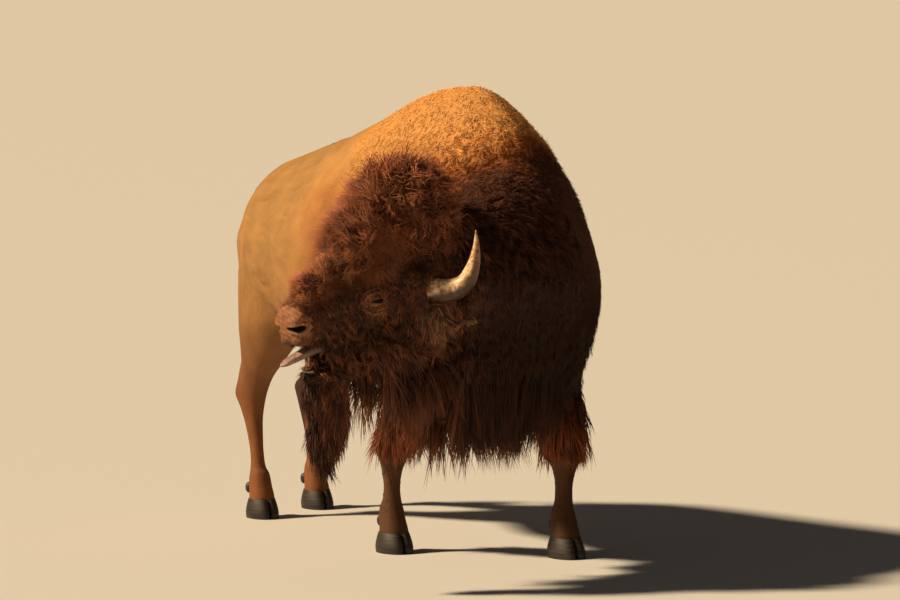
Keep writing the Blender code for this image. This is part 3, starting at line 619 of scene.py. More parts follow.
def sculpt_face(points, normals):
    """Lids, folds, nostrils, lips and chin, as moves that depend on the place in the head alone."""
    forward, left, up = in_head(points)
    side = np.sign(left)
    out = np.abs(left)
    on_head = past_nape(points) > 0.0
    near_eye = on_head & (np.sqrt(forward**2 + up**2) < 0.080) & (out > 0.070)

    # eye: an almond opening, lids that lie on a ball a little bigger than the eye, folds in arcs round it
    wave, almond, radius = eye_folds(points)
    lid_ball = EYE_RADIUS + 0.0030 + 0.0012 * bell(almond - 1.12, 0.16)
    draped = EYE_SPREAD + np.sqrt(np.maximum(lid_ball**2 - np.minimum(radius, lid_ball * 0.92) ** 2, 0.0))
    lid = ease(radius, 0.0300, 0.0190)
    target = mix(mix(out, draped, lid), EYE_SPREAD + 0.004, ease(almond, 1.04, 0.93)) + wave
    new_left = np.where(near_eye, side * target, left)

    # nostril: pushed deep, with a raised rim below and behind, and a fold over it
    hole, a, b = nostril(points)
    end = ease(forward, 0.225, 0.245) * on_head
    push = -0.026 * ease(hole, 1.12, 0.60) * ease(a, -0.040, -0.012)
    rim = bell(hole - 1.50, 0.30) * ease(a, -0.040, -0.016)
    push = push + rim * (0.0012 + 0.0030 * fall(b, -0.006, 0.004) + 0.0022 * ease(a, 0.01, 0.03))
    wing = np.sqrt((a / 0.050) ** 2 + ((b + 0.004) / 0.026) ** 2)
    push = push - 0.0028 * bell(wing - 1.15, 0.10) * ease(a, 0.000, 0.025)
    push = push + 0.0006 * ripple(points, 0.035, 41) + 0.0002 * ripple(points, 0.012, 42)
    moved = head_point(forward, new_left, up) + normals * (push * end)[:, None]

    # groove down the middle of the nose, and a bevel where the lip turns into the mouth
    groove = bell(left, 0.004) * ease(forward, 0.295, 0.315) * fall(up, -0.050, -0.030)
    lip = bell(up + 0.088, 0.010) * ease(forward, 0.10, 0.2)
    moved = moved + normals * ((0.0030 * lip - 0.0022 * groove) * on_head)[:, None]
    return np.where(on_head[:, None], moved, points)


def skin_mesh():
    """One closed surface: drawn-in body and finer head, joined, thinned away from the face, then sculpted."""
    mesh = joined("hide", [drawn_in_body(), *head_masses(), *pasterns()])
    mesh = with_modifier(mesh, "REMESH", mode="VOXEL", voxel_size=SKIN_VOXEL)
    edges = edges_of(mesh)
    points = points_of(mesh)
    mesh_points = relax(points, edges, 6, np.where(detail(points) > 0, 0.35, 0.5))
    set_points(mesh, mesh_points)
    mesh = thinned(keep_largest(mesh), THIN_TRIANGLES)
    for level in (1, 2, 3):
        mesh = refine(mesh, level)
        points = points_of(mesh)
        set_points(mesh, relax(points, edges_of(mesh), 2, 0.4 * (detail(points) >= level)))
    set_points(mesh, sculpt_trunk(points_of(mesh), normals_of(mesh)))
    set_points(mesh, sculpt_legs(points_of(mesh), normals_of(mesh)))
    set_points(mesh, sculpt_face(points_of(mesh), normals_of(mesh)))
    points = points_of(mesh)
    set_points(mesh, relax(points, edges_of(mesh), 1, 0.25 * (detail(points) >= 1)))
    return mesh


def keep_largest(mesh):
    """The mesh without the small bubbles that a remesh can leave."""
    count = len(mesh.vertices)
    edges = edges_of(mesh)
    label = np.arange(count)
    while True:
        low = np.minimum(label[edges[:, 0]], label[edges[:, 1]])
        new = label.copy()
        np.minimum.at(new, edges[:, 0], low)
        np.minimum.at(new, edges[:, 1], low)
        new = new[new]
        if (new == label).all():
            break
        label = new
    main = np.bincount(label).argmax()
    loose = np.flatnonzero(label != main)
    if len(loose):
        work = bmesh.new()
        work.from_mesh(mesh)
        work.verts.ensure_lookup_table()
        bmesh.ops.delete(work, geom=[work.verts[i] for i in loose], context="VERTS")
        work.to_mesh(mesh)
        work.free()
    return mesh


def thinned(mesh, triangles):
    """The mesh thinned to about so many triangles, with those of the face kept."""
    face = np.flatnonzero(detail(points_of(mesh)) > 0)
    share = triangles / (2.0 * len(mesh.polygons))
    spare = dict(vertex_group="keep", vertex_group_factor=8.0, invert_vertex_group=True)
    return with_modifier(mesh, "DECIMATE", face, ratio=share, **spare)


# ---------------------------------------------------------------- markings, with painted light and shade
# The near-black is painted shade in the nostrils and the open mouth; the darkest brown is the dark skin of
# the lid rims and painted shade in creases; the pale rim colour is also a painted highlight under the
# nostrils.
SHADES = dict(
    bonnet="#8b5539", face="#6c4330", mane="#3d2418", shoulder="#522b18", rust="#a65c24",
    hump="#dc9f58", flank="#9c7441", belly="#7a4f2c", back="#86522c", leg="#7c4a27", forearm="#86492a",
    cannon="#5f3c22", fringe="#8f6850", lid="#a3694a", dark_lid_and_shade="#2a1710", nose="#bb7c55", rim="#b08c6c",
    bridge="#76482f", nostril="#120a08", tassel="#3a1e12",
)
PALETTE = {name: linear(code) for name, code in SHADES.items()}


def over(base, colour, amount):
    """Base colours with another laid over them by amount."""
    return mix(base, PALETTE[colour], np.asarray(amount, float)[:, None])


def markings_and_painted_light(points):
    """Colour of hide and coat, tan behind, golden on the hump, reddish on the shoulder, dark brown below,
    with painted light and shade.
    """
    x, y, z = in_body(points)
    forward, left, up = in_head(points)
    drift = 0.020 * ripple(points, 0.26, 11) + 0.012 * ripple(points, 0.07, 12)
    drift = drift + 0.008 * ripple(points, 0.025, 19)
    # trunk and legs
    tint = np.repeat(PALETTE["flank"][None], len(points), 0)
    tint = over(tint, "belly", fall(z, 0.66, 0.90) * 0.8)
    ridge = fall(np.abs(x + 0.02 * ripple(points, 0.20, 13)), 0.01, 0.10)
    ridge = ridge * fall(y, 1.10, 1.45) * ease(y, 0.15, 0.50)
    tint = over(tint, "back", ridge * (0.60 + 0.20 * ripple(points, 0.04, 16)).clip(0.3, 0.9))
    tint = tint * (1 + (0.06 * ripple(points, 0.09, 17) + 0.05 * ripple(points, 0.022, 18)))[:, None]
    tint = over(tint, "leg", np.maximum(fall(z, 0.45, 0.72), 0.45 * fall(z, 0.75, 1.20)) * ease(y, 0.7, 0.9))
    ragged = 0.05 * ripple(points, 0.34, 15) + drift
    front = fall(y + ragged, 0.24, 0.80)
    # the gold ends lower on the steep front of the hump; on the animal's left it ends lower still, painted
    # shade on the side turned from the key light
    front_drop_and_left_shade = 0.16 * fall(y, -0.54, -0.34) + 0.12 * ease(x, -0.06, 0.10) * fall(y, -0.45, -0.20)
    rise = z + drift - 0.09 * fall(y, -0.15, 0.25) - front_drop_and_left_shade
    tint = over(tint, "hump", front * ease(rise, 1.10, 1.36))
    collar = ease(past_collar(points) + drift, -0.14, 0.02)
    fore = np.maximum(fall(y + ragged, 0.10, 0.52), collar)
    tint = over(tint, "rust", np.maximum(front * 0.7, fore) * fall(rise, 1.34, 1.52))
    tint = over(tint, "shoulder", fore * fall(rise, 1.22, 1.42))
    tint = over(tint, "mane", fore * fall(z + 0.6 * drift, 0.90, 1.24))
    tint = over(tint, "mane", collar * fall(z, 1.10, 1.36) * 0.85)
    tint = over(tint, "forearm", fall(z, 0.52, 0.66) * fall(y, 0.40, 0.60))
    tint = over(tint, "cannon", fall(z, 0.34, 0.40) * fall(y, 0.40, 0.60))
    # head and ears
    head = ease(past_nape(points) + drift, -0.12, 0.02)
    tint = over(tint, "face", head)
    tint = over(tint, "bonnet", head * ease(above_brow(points), -0.03, 0.05))
    # painted light on the clumps of wool on the head, painted shade in the partings between them
    tint = tint * (1 + head * (0.24 * clumps(points)).clip(-0.42, 0.30))[:, None]
    patch = nearest(points, both_sides(-0.165, 0.165, -0.085))
    tint = over(tint, "rim", fall(patch, 0.015, 0.045) * 0.55)
    # painted shade: dark brown between the root of each horn and the ear
    horn_shade_spot = nearest(points, both_sides(-0.21, 0.17, -0.06))
    tint = over(tint, "mane", fall(horn_shade_spot, 0.035, 0.085) * 0.8)
    tint = over(tint, "fringe", fall(nearest(points, EARS), 0.085, 0.125) * 0.75)
    tint = over(tint, "tassel", ease(y, 1.49, 1.515) * fall(z, 0.94, 1.02))
    # eye
    eye = from_eye(points, 0.006, -0.012)
    bare = (0.66 + 0.34 * ripple(points, 0.012, 8)).clip(0.15, 1.0)
    tint = over(tint, "lid", fall(eye, 0.038, 0.056) * bare)
    wave, almond, radius = eye_folds(points)
    by_eye = head * fall(radius, 0.056, 0.066) * (np.abs(left) > 0.06)
    # painted light on the ridges of the folds round the eye, painted shade in the grooves between
    tint = tint * (1 + by_eye * (120 * wave).clip(-0.75, 0.6))[:, None]
    # dark skin at the rims of the lids, with painted shade in the creases round the opening
    tint = over(tint, "dark_lid_and_shade", fall(almond, 1.05, 1.45) * by_eye)
    # nose and mouth
    tint = over(tint, "bridge", head * ease(forward - muzzle_edge(points), -0.040, 0.0) * 0.8)
    tint = over(tint, "nose", head * bare_muzzle(points))
    # painted shade on the upper lip beneath the nostrils
    tint = over(tint, "dark_lid_and_shade", head * ease(forward, 0.24, 0.27) * fall(up, -0.084, -0.052) * 0.72)
    hole, a, b = nostril(points)
    below = bell(hole - 1.45, 0.28) * fall(b, -0.006, 0.002)
    end = head * ease(forward, 0.225, 0.245)
    freckles = (0.40 + 0.25 * ripple(points, 0.016, 25)).clip(0, 0.8)
    tint = over(tint, "bridge", head * bare_muzzle(points) * freckles)
    # pale: painted highlight on the raised rim below each nostril
    tint = over(tint, "rim", end * below * ease(a, -0.040, -0.026) * 0.6)
    # near black: painted shade in the hole of each nostril
    tint = over(tint, "nostril", end * fall(hole, 0.85, 1.12))
    mouth = head * fall(up, -0.106, -0.098) * ease(up, -0.150, -0.140) * ease(forward, 0.0, 0.05)
    mouth = mouth * fall(np.abs(left), 0.050, 0.062)
    # near black: painted shade in the open mouth
    tint = over(tint, "nostril", mouth * 0.9)
    return tint


def muzzle_edge(points):
    """How far ahead the skin of the nose begins: a bow that reaches furthest back at the nostrils."""
    up = in_head(points)[2]
    return 0.250 + 3.6 * (up + 0.028) ** 2 + 0.004 * ripple(points, 0.03, 9) + 0.10 * fall(up, -0.104, -0.094)


def bare_muzzle(points):
    """1 on the bare skin of the nose."""
    return ease(in_head(points)[0] - muzzle_edge(points), -0.004, 0.012)


# ---------------------------------------------------------------- the coat
def scatter(skin, wanted, count, seed):
    """Picks places on the skin at random, with chance by area times wanted. Returns places and normals."""
    rng = np.random.default_rng(seed)
    a, b, c = (skin["points"][skin["triangles"][:, k]] for k in range(3))
    middle_of = (a + b + c) / 3
    chance = np.linalg.norm(np.cross(b - a, c - a), axis=1) * wanted(middle_of)
    tries = count * 5
    chosen = rng.choice(len(chance), tries, p=chance / chance.sum())
    s, t = rng.random(tries), rng.random(tries)
    fold = s + t > 1
    s, t = np.where(fold, 1 - s, s)[:, None], np.where(fold, 1 - t, t)[:, None]
    ends = [skin["normals"][skin["triangles"][chosen, k]] for k in range(3)]
    places = a[chosen] * (1 - s - t) + b[chosen] * s + c[chosen] * t
    normals = unit(ends[0] * (1 - s - t) + ends[1] * s + ends[2] * t)
    # one place to each small cell of space comes first, so that no patch is left bare
    cell = np.sqrt(0.5 * chance.sum() / count / np.maximum(wanted(places), 1e-6)).clip(0.001, 0.1)
    cell = 2.0 ** (np.round(np.log2(cell) * 4) / 4)
    key = np.concatenate([np.floor(places / cell[:, None]), cell[:, None]], 1)
    first = np.unique(key, axis=0, return_index=True)[1]
    rest = np.setdiff1d(np.arange(tries), first)
    picked = np.concatenate([rng.permutation(first), rng.permutation(rest)])[:count]
    return places[picked], normals[picked]


def lie_of_coat(points, normals):
    """Way the hair points at each place, along the surface: back and down the trunk, down the mane and legs.
    Also how nearly that way lies in the surface: 0 in the middle of a whorl, where it points out."""
    _, y, z = in_body(points)
    way = np.tile([0.0, 0.75, -0.65], (len(points), 1))
    way = mix(way, np.array([0.0, 0.25, -1.0]), fall(y, -0.10, 0.50)[:, None])
    way = mix(way, DOWN, fall(z, 0.60, 0.80)[:, None])
    way = mix(way, DOWN - 0.25 * AHEAD, ease(past_collar(points), -0.10, 0.10)[:, None])
    head = ease(past_nape(points), -0.05, 0.08)[:, None]
    way = mix(way, DOWN * 0.95 - AHEAD * 0.35, head)
    bonnet = head * ease(above_brow(points), -0.04, 0.03)[:, None]
    crown = unit(points - head_point(-0.14, 0.0, 0.46))
    way = mix(way, crown, bonnet) + (0.45 * head + 0.55 * bonnet) * clump_pull(points)
    way = mix(way, DOWN, head * ease(below_chin(points), -0.10, 0.0)[:, None])
    way = way + 0.16 * np.stack([ripple(points, 0.20, 30 + k) for k in range(3)], 1)
    flat = way - normals * (way * normals).sum(1)[:, None]
    return unit(flat), np.linalg.norm(flat, axis=1) / np.linalg.norm(way, axis=1)


def grow(name, roots, normals, style, seed):
    """Locks of tapered three-sided strands. Each lock follows a path that starts at a slant from the skin,
    bends down the lie of the coat, sags and curls. Its strands start spread and gather towards its tip."""
    rng = np.random.default_rng(seed)
    count, strands, stops = len(roots), style["strands"], style["stops"]
    lengths = worth(style["length"], roots) * rng.uniform(0.72, 1.15, count)
    along, laid = lie_of_coat(roots, normals)
    across = np.cross(normals, along)
    turn = rng.normal(0, style["stray"], count)[:, None]
    along, across = along * np.cos(turn) + across * np.sin(turn), across * np.cos(turn) - along * np.sin(turn)
    lift = worth(style["lift"], roots) * rng.uniform(0.7, 1.3, count)
    slant = np.radians(lift + (85.0 - lift).clip(0) * style["stand"] * (1 - laid) ** 1.5)
    steps = np.arange(stops)
    phase = rng.uniform(0, 2 * np.pi, count)
    sense = np.where(rng.random(count) < 0.5, -1.0, 1.0)
    curl = worth(style["curl"], roots)
    sag = DOWN + normals * np.maximum(normals[:, 2], 0.0)[:, None]
    path = [np.zeros_like(roots)]
    for step in steps:
        share = (step + 0.5) / stops
        angle = (slant * (1.0 - style["flatten"] * share))[:, None]
        way = along * np.cos(angle) + normals * np.sin(angle) + sag * style["sag"] * share
        swing = (phase + sense * 2 * np.pi * style["turns"] * share)[:, None]
        way = way + curl[:, None] * (across * np.cos(swing) + normals * np.sin(swing) * 0.7)
        path.append(path[-1] + unit(way) * (lengths / stops)[:, None])
    path = np.stack(path, 1)

    spread = style["spread"]
    a = rng.uniform(-1, 1, (count, strands, 1)) * spread * (strands > 1)
    b = rng.uniform(-1, 1, (count, strands, 1)) * spread * (strands > 1)
    offset = a * along[:, None] + b * across[:, None] - normals[:, None] * style["rooted"]
    share = (np.arange(stops + 1) / stops)[None, None, :, None]
    gather = 1 - style["gather"] * share**0.8
    scale = rng.uniform(0.70, 1.12, (count, strands, 1, 1))
    stray = rng.normal(0, 1, (count, strands, 1, 3)) * share * (lengths * style["fray"])[:, None, None, None]
    rooting = offset[:, :, None] * gather
    spine = roots[:, None, None] + path[:, None] * scale + rooting + stray
    spine = spine.reshape(-1, stops + 1, 3)
    out = np.repeat(normals, strands, 0)
    root = np.repeat(roots, strands, 0)
    width = worth(style["width"], root) * rng.uniform(0.75, 1.25, len(root))
    tone = np.repeat(rng.normal(0, 1, count), strands) * 0.65 + rng.normal(0, 1, len(root)) * 0.35
    return tuft_mesh(name, spine, out, root, width, tone, style)


def tuft_mesh(name, spine, out, root, width, tone, style):
    """Closed strands: a three-cornered ring at each stop but the last, drawn to a point at the last."""
    many, rings = spine.shape[0], spine.shape[1] - 1
    heading = unit(np.gradient(spine, axis=1))
    beside = unit(np.cross(heading, out[:, None]))
    over_it = np.cross(beside, heading)
    share = np.arange(rings) / rings
    broad = (width[:, None] * (1 - 0.75 * share**1.5) * np.where(share == 0, 0.8, 1.0))[..., None]
    centre = spine[:, :rings]
    beside, over_it = beside[:, :rings] * broad * 0.5, over_it[:, :rings] * broad * 0.42
    ring = np.stack([centre + over_it, centre + beside, centre - beside], 2).reshape(many, rings * 3, 3)
    points = np.concatenate([ring, spine[:, rings:]], 1).reshape(-1, 3)

    pattern = [(2, 1, 0)]
    for r in range(rings - 1):
        for i in range(3):
            j = (i + 1) % 3
            low, high = r * 3, (r + 1) * 3
            pattern += [(low + i, low + j, high + j), (low + i, high + j, high + i)]
    last, tip = (rings - 1) * 3, rings * 3
    pattern += [(last + i, last + (i + 1) % 3, tip) for i in range(3)]
    pattern = np.array(pattern)
    per = rings * 3 + 1
    triangles = (np.arange(many)[:, None, None] * per + pattern[None]).reshape(-1, 3)
    mesh = mesh_from(name, points, triangles.ravel(), np.full(len(triangles), 3))

    reach = np.concatenate([np.repeat(share, 3), [1.0]])
    tint = markings_and_painted_light(root)
    # darker at the root, painted shade of the coat over it; lighter towards the tip
    lightness = style["painted_root_shade"] + (style["light_tip"] - style["painted_root_shade"]) * reach[None] ** 0.8
    lightness = lightness * np.exp(style["mottle"] * tone[:, None])
    tint = tint[:, None] * lightness[..., None]
    warm = np.array([1.10, 0.98, 0.86])
    tint = tint * (1 + (warm - 1) * (reach[None] * np.clip(tone[:, None] * 0.5 + 0.5, 0, 1))[..., None])
    paint(mesh, tint.reshape(-1, 3))

    chart = style["chart"](root)
    patch = np.stack([np.concatenate([np.tile([0.5, 1.0, 0.0], rings), [0.5]]), reach], 1) * PATCH
    layout = (chart[:, None] + patch[None]).reshape(-1, 2)
    layer = mesh.uv_layers.new(name="OFBake")
    layer.data.foreach_set("uv", layout[triangles.ravel()].astype(np.float32).ravel())
    return mesh


def paint(mesh, tint, wool=1.0):
    """Stores a colour at each point for the material to read, and how woolly the hide is there."""
    layer = mesh.color_attributes.new("coat_tint", "FLOAT_COLOR", "POINT")
    values = np.ones((len(tint), 4), np.float32)
    values[:, :3] = np.clip(tint, 0, 1)
    values[:, 3] = wool
    layer.data.foreach_set("color", values.ravel())
    mesh.color_attributes.render_color_index = 0


def flatten_to_square(u, v):
    """Both spread over 0.01 to 0.985."""
    spans = []
    for value in (u, v):
        low, high = value.min(), value.max()
        spans.append(0.01 + 0.975 * (value - low) / max(high - low, 1e-6))
    return np.stack(spans, 1)


def round_trunk(points):
    """Unrolled round the trunk's long axis: turn about it, and place along it."""
    x, y, z = in_body(points)
    return flatten_to_square(np.arctan2(x, z - 1.05), y)


def round_head(points):
    """Unrolled round the head's long axis."""
    forward, left, up = in_head(points)
    return flatten_to_square(np.arctan2(left, up + 0.05), forward)


def round_neck(points):
    """Unrolled round a level line through the neck."""
    course = unit(np.array([-0.58, -0.56, 0.0]))
    aside = np.cross(course, [0, 0, 1])
    away = points - BODY_ORIGIN - np.array([-0.15, -0.60, 1.09])
    return flatten_to_square(np.arctan2(away @ aside, away[:, 2]), away @ course)


def round_legs(points):
    """Each leg unrolled round its upright axis, in a quarter of the square of its own."""
    x, y, z = in_body(points)
    left, hind = (x > 0).astype(float), (y > 0.7).astype(float)
    centre_y = np.where(hind > 0, 1.30, np.where(left > 0, -0.30, 0.0))
    turn = np.arctan2(np.abs(x) - 0.23, y - centre_y) / (2 * np.pi) + 0.5
    quarter = 0.5 * left + 0.45 * turn
    return np.stack([0.01 + 0.96 * quarter, 0.01 + 0.96 * (0.5 * hind + 0.45 * np.clip(z, 0, 1.2) / 1.2)], 1)


def worth(value, points):
    """A style's value at points: worked out there, or one number everywhere."""
    return value(points) if callable(value) else np.full(len(points), value)


def zones(points):
    """Shares of the skin, one name to each, for splitting the coat into pieces."""
    x, y, z = in_body(points)
    forward = in_head(points)[0]
    head = past_nape(points) > 0
    neck = (past_collar(points) > 0) & ~head
    bonnet = head & (above_brow(points) > -0.015)
    crown = bonnet & (forward < -0.13)
    beard = head & (below_chin(points) > -0.10) & (forward > 0.0)
    ear = head & ~bonnet & (nearest(points, EARS) < 0.135)
    throat = (head | neck) & ~beard & ~ear & ~bonnet & (z < np.where(head & (forward < 0.04), 0.86, 0.78))
    face = head & ~bonnet & ~beard & ~ear & ~throat
    neck = neck & ~throat
    tail = ~head & (y > 1.50) & (z < 1.27) & (z > 0.60) & (np.abs(x) < 0.09)
    trunk = ~head & ~neck & ~tail & ~throat
    leg = trunk & (z < 0.62) & (y < 0.45)
    y = y + 0.045 * ripple(points, 0.16, 22) + 0.02 * ripple(points, 0.05, 23)
    z = z + 0.03 * ripple(points, 0.12, 24)
    hind = trunk & (y > 0.92)
    hump = trunk & (z > 1.28) & (y < 0.62) & ~leg
    shoulder = trunk & (y < 0.50) & (z > 0.96) & ~hump
    brisket = trunk & (y < 0.50) & (z <= 0.96) & ~leg
    barrel = trunk & (y >= 0.50) & ~hind & ~hump
    return dict(
        crown=crown, forelock=bonnet & ~crown, beard=beard, throat=throat, ear=ear, face=face, neck=neck,
        tail=tail, hind=hind, foreleg=leg, hump=hump, shoulder=shoulder, brisket=brisket, barrel=barrel,
    )


def hairless(points):
    """1 where no tufts grow: the nose, the lips, the inside of the mouth and close round the eyes."""
    forward, left, up = in_head(points)
    bare = fall(from_eye(points, 0.006, -0.010), 0.038, 0.046)
    above_lid = fall(np.abs(from_eye(points) - 0.050), 0.003, 0.006) * ease(up, 0.020, 0.034)
    bare = np.maximum(bare, above_lid * 0.85)
    bare = np.maximum(bare, bare_muzzle(points))
    base = np.sqrt((forward + 0.160) ** 2 + (np.abs(left) - 0.112) ** 2 + up**2)
    bare = np.maximum(bare, fall(base, 0.048, 0.054))
    jaw_line = -0.135 - 0.23 * (forward - 0.05)
    in_mouth = (forward > 0.03) & (up < -0.100) & (up > jaw_line - 0.02) & (np.abs(left) < 0.060)
    bare = np.maximum(bare, in_mouth * 1.0)
    return np.maximum(bare, (points[:, 2] < 0.085) * 1.0)


def in_zone(name):
    """Chance of a tuft in a zone: none on bare skin, more where hair is short, as on the face."""

    def wanted(points):
        thick = (0.045 / face_length(points)).clip(0.8, 3.0) if name == "face" else 1.0
        return zones(points)[name] * (1 - hairless(points)) * thick

    return wanted


def face_length(points):
    """Short by the muzzle and eyes, long on cheek, throat and behind the jaw."""
    forward, _, up = in_head(points)
    eye = from_eye(points, 0.004, -0.008)
    length = 0.034 + 0.041 * fall(up, -0.14, -0.02)
    length = length * (1 - 0.45 * ease(forward, 0.20, 0.27))
    length = length * (0.30 + 0.70 * ease(eye, 0.036, 0.085))
    length = length * (0.40 + 0.60 * ease(muzzle_edge(points) - forward, -0.005, 0.060))
    return np.maximum(length * (0.95 + 0.14 * clumps(points).clip(-1.5, 1.5)), 0.009)


def bonnet_length(points):
    """Tall on the crown, cropped where forehead meets bridge, short round the horns and by the nose."""
    forward, left, up = in_head(points)
    horn = nearest(points, both_sides(-0.17, 0.11, 0.01))
    length = 0.088 - 0.034 * ease(forward, -0.06, 0.10) - 0.044 * fall(horn, 0.08, 0.20)
    length = length + 0.018 * ease(up, 0.30, 0.38)
    length = length - 0.046 * bell(up - 0.205 + 0.3 * np.abs(left), 0.050) * ease(forward, -0.01, 0.06)
    length = length * (0.30 + 0.70 * ease(muzzle_edge(points) - forward, -0.005, 0.060))
    return np.maximum(length * (0.86 + 0.16 * clumps(points).clip(-1.5, 1.5)), 0.010)


def beard_length(points):
    """Short at the lip, full below the chin."""
    return 0.030 + 0.066 * ease(below_chin(points), -0.085, 0.02)


def ear_fringe(points):
    """Long below the root of the ear, shorter at its tip."""
    return 0.070 - 0.044 * ease(np.abs(in_head(points)[1]), 0.19, 0.25)


def painted_wool_shade(points):
    """How far the hide is darkened by painted shade of the wool over it: much under long coat, little under
    the short one.
    """
    _, y, z = in_body(points)
    head = ease(past_nape(points), -0.05, 0.05)
    throat = fall(z, 0.75, 1.05) * fall(y, 0.30, 0.55) * ease(z, 0.36, 0.42)
    long_coat = np.maximum(head, throat)
    long_coat = long_coat * ease(from_eye(points, 0.006, -0.010), 0.040, 0.060)
    long_coat = long_coat * (1 - bare_muzzle(points) * head)
    return 1.0 - 0.24 * fall(y, 0.40, 0.70) * (1 - long_coat) - 0.56 * long_coat


def hump_wool(points):
    """Short crimped wool, fading into the smooth coat behind the hump."""
    back = in_body(points)[1] + 0.05 * ripple(points, 0.15, 14)
    return 0.4 * (wool_length(points) - 0.026).clip(0) + 0.022 - 0.011 * ease(back, 0.25, 0.58)


def wool_length(points):
    """Short on hump and shoulder, long on brisket, throat and the front of the neck."""
    _, y, z = in_body(points)
    front = np.maximum(fall(y, -0.50, -0.20), ease(past_collar(points), 0.0, 0.15))
    crest = bell(y + 0.42, 0.20) * ease(z, 1.26, 1.38) * fall(z, 1.56, 1.72)
    nape = ease(past_collar(points), -0.10, 0.12) * ease(z, 1.00, 1.25)
    behind = 0.012 * ease(y + 0.05 * ripple(points, 0.15, 14), 0.20, 0.52)
    length = 0.026 - behind + 0.052 * np.maximum(crest, nape)
    return length + 0.040 * fall(z, 0.78, 1.12) * (0.45 + 0.55 * front)


# strands and stops of a lock; stray, flatten, sag, turns and curl of its path; spread, gather and fray of
# its strands; rooted is their depth in the skin; the rest is colour, with painted shade at the root, and the
# chart that lays it out
PLAIN = dict(
    strands=6, stops=2, stray=0.35, flatten=0.7, sag=0.3, turns=0.0, spread=0.012, gather=0.55, fray=0.07,
    rooted=0.004, painted_root_shade=0.62, light_tip=1.22, mottle=0.22, curl=0.0, stand=0.0, chart=round_trunk,
)
CURLY = dict(
    PLAIN, length=bonnet_length, sag=0.25, stray=0.9, gather=0.70, spread=0.013, flatten=0.5, fray=0.12,
    mottle=0.32, stand=1.0, chart=round_head,
)
LONG = dict(PLAIN, stops=4, gather=0.75, mottle=0.34, chart=round_head)
SHORT = dict(PLAIN, stops=1, rooted=0.003, gather=0.3, painted_root_shade=0.86, light_tip=1.12, mottle=0.14)
SMOOTH = dict(SHORT, strands=1, lift=6.0, stray=0.18, fray=0.02, painted_root_shade=0.90, light_tip=1.08, mottle=0.13)
# each piece: its zone of the skin, number of locks and style; lengths are in metres, lift in degrees
COAT = {
    "coat_crown": ("crown", 1500, dict(
        CURLY, strands=5, stops=4, width=0.0042, lift=46.0, curl=0.95, turns=0.8,
        spread=0.016, gather=0.8)),
    "coat_forelock": ("forelock", 4600, dict(
        CURLY, strands=8, stops=1, width=0.0036, lift=50.0, fray=0.16, gather=0.35,
        light_tip=1.10)),
    "coat_face": ("face", 2750, dict(
        PLAIN, length=face_length, width=lambda p: 0.0022 + 0.022 * face_length(p),
        lift=lambda p: 24.0 + 230 * face_length(p), curl=0.30, turns=0.6, sag=0.8, stray=0.45, gather=0.75,
        spread=0.011, mottle=0.42, chart=round_head)),
    "coat_beard": ("beard", 700, dict(
        LONG, length=beard_length, width=0.0050, lift=12.0, curl=0.22, turns=0.8, sag=1.3,
        stray=0.25)),
    "coat_throat": ("throat", 620, dict(
        LONG, length=lambda p: 0.22 + 0.05 * ease(past_nape(p), 0.0, 0.1), width=0.0052, lift=7.0,
        curl=0.10, turns=0.8, sag=2.6, stray=0.10, fray=0.03, spread=0.020)),
    "coat_neck": ("neck", 2600, dict(
        PLAIN, length=wool_length, width=0.0040, curl=lambda p: 0.30 + 0.5 * ease(in_body(p)[2], 1.05, 1.25),
        lift=lambda p: 8.0 + 240 * wool_length(p) + 20.0 * ease(in_body(p)[2], 1.05, 1.25),
        turns=0.8, sag=0.8, gather=0.60, spread=0.015, mottle=0.30, chart=round_neck)),
    "coat_brisket": ("brisket", 1500, dict(
        PLAIN, length=wool_length, width=0.0042, lift=lambda p: 6.0 + 200 * wool_length(p), curl=0.22,
        turns=0.6, sag=0.6, stray=0.35, spread=0.018, mottle=0.26)),
    "coat_shoulders": ("shoulder", 10000, dict(
        SHORT, strands=4, length=wool_length, width=lambda p: 0.0012 + 0.12 * wool_length(p).clip(0, 0.027),
        lift=lambda p: 6.0 + 11.0 * ease(wool_length(p), 0.013, 0.026), stray=0.30, spread=0.012,
        mottle=0.18)),
    "coat_hump": ("hump", 9990, dict(
        SHORT, strands=4, length=hump_wool, width=lambda p: 0.0026 + 0.11 * hump_wool(p).clip(0, 0.022),
        lift=lambda p: 8.0 + 22.0 * ease(hump_wool(p), 0.012, 0.022), stray=1.0, spread=0.011)),
    "coat_forelegs": ("foreleg", 950, dict(
        PLAIN, stops=3, length=lambda p: 0.014 + 0.124 * ease(in_body(p)[2], 0.37, 0.47), width=0.0056,
        lift=lambda p: 8.0 + 16.0 * ease(in_body(p)[2], 0.37, 0.45), curl=0.20, turns=0.7, sag=1.9,
        mottle=0.30, chart=round_legs)),
    "coat_barrel": ("barrel", 12000, dict(SMOOTH, length=0.020, width=0.0036)),
    "coat_hindquarters": ("hind", 17000, dict(SMOOTH, length=0.017, width=0.0032)),
    "coat_tail": ("tail", 250, dict(
        LONG, stops=3, length=lambda p: 0.020 + 0.11 * fall(in_body(p)[2], 0.92, 1.00), width=0.0045,
        lift=7.0, sag=1.6, spread=0.006, gather=0.55, mottle=0.22, chart=round_legs)),
    "coat_ears": ("ear", 400, dict(
        LONG, strands=8, stops=3, length=ear_fringe, width=0.0046, lift=12.0, curl=0.12,
        turns=0.5, sag=1.3, stray=0.3, gather=0.5, spread=0.012, painted_root_shade=0.7, light_tip=1.35, mottle=0.48)),
}


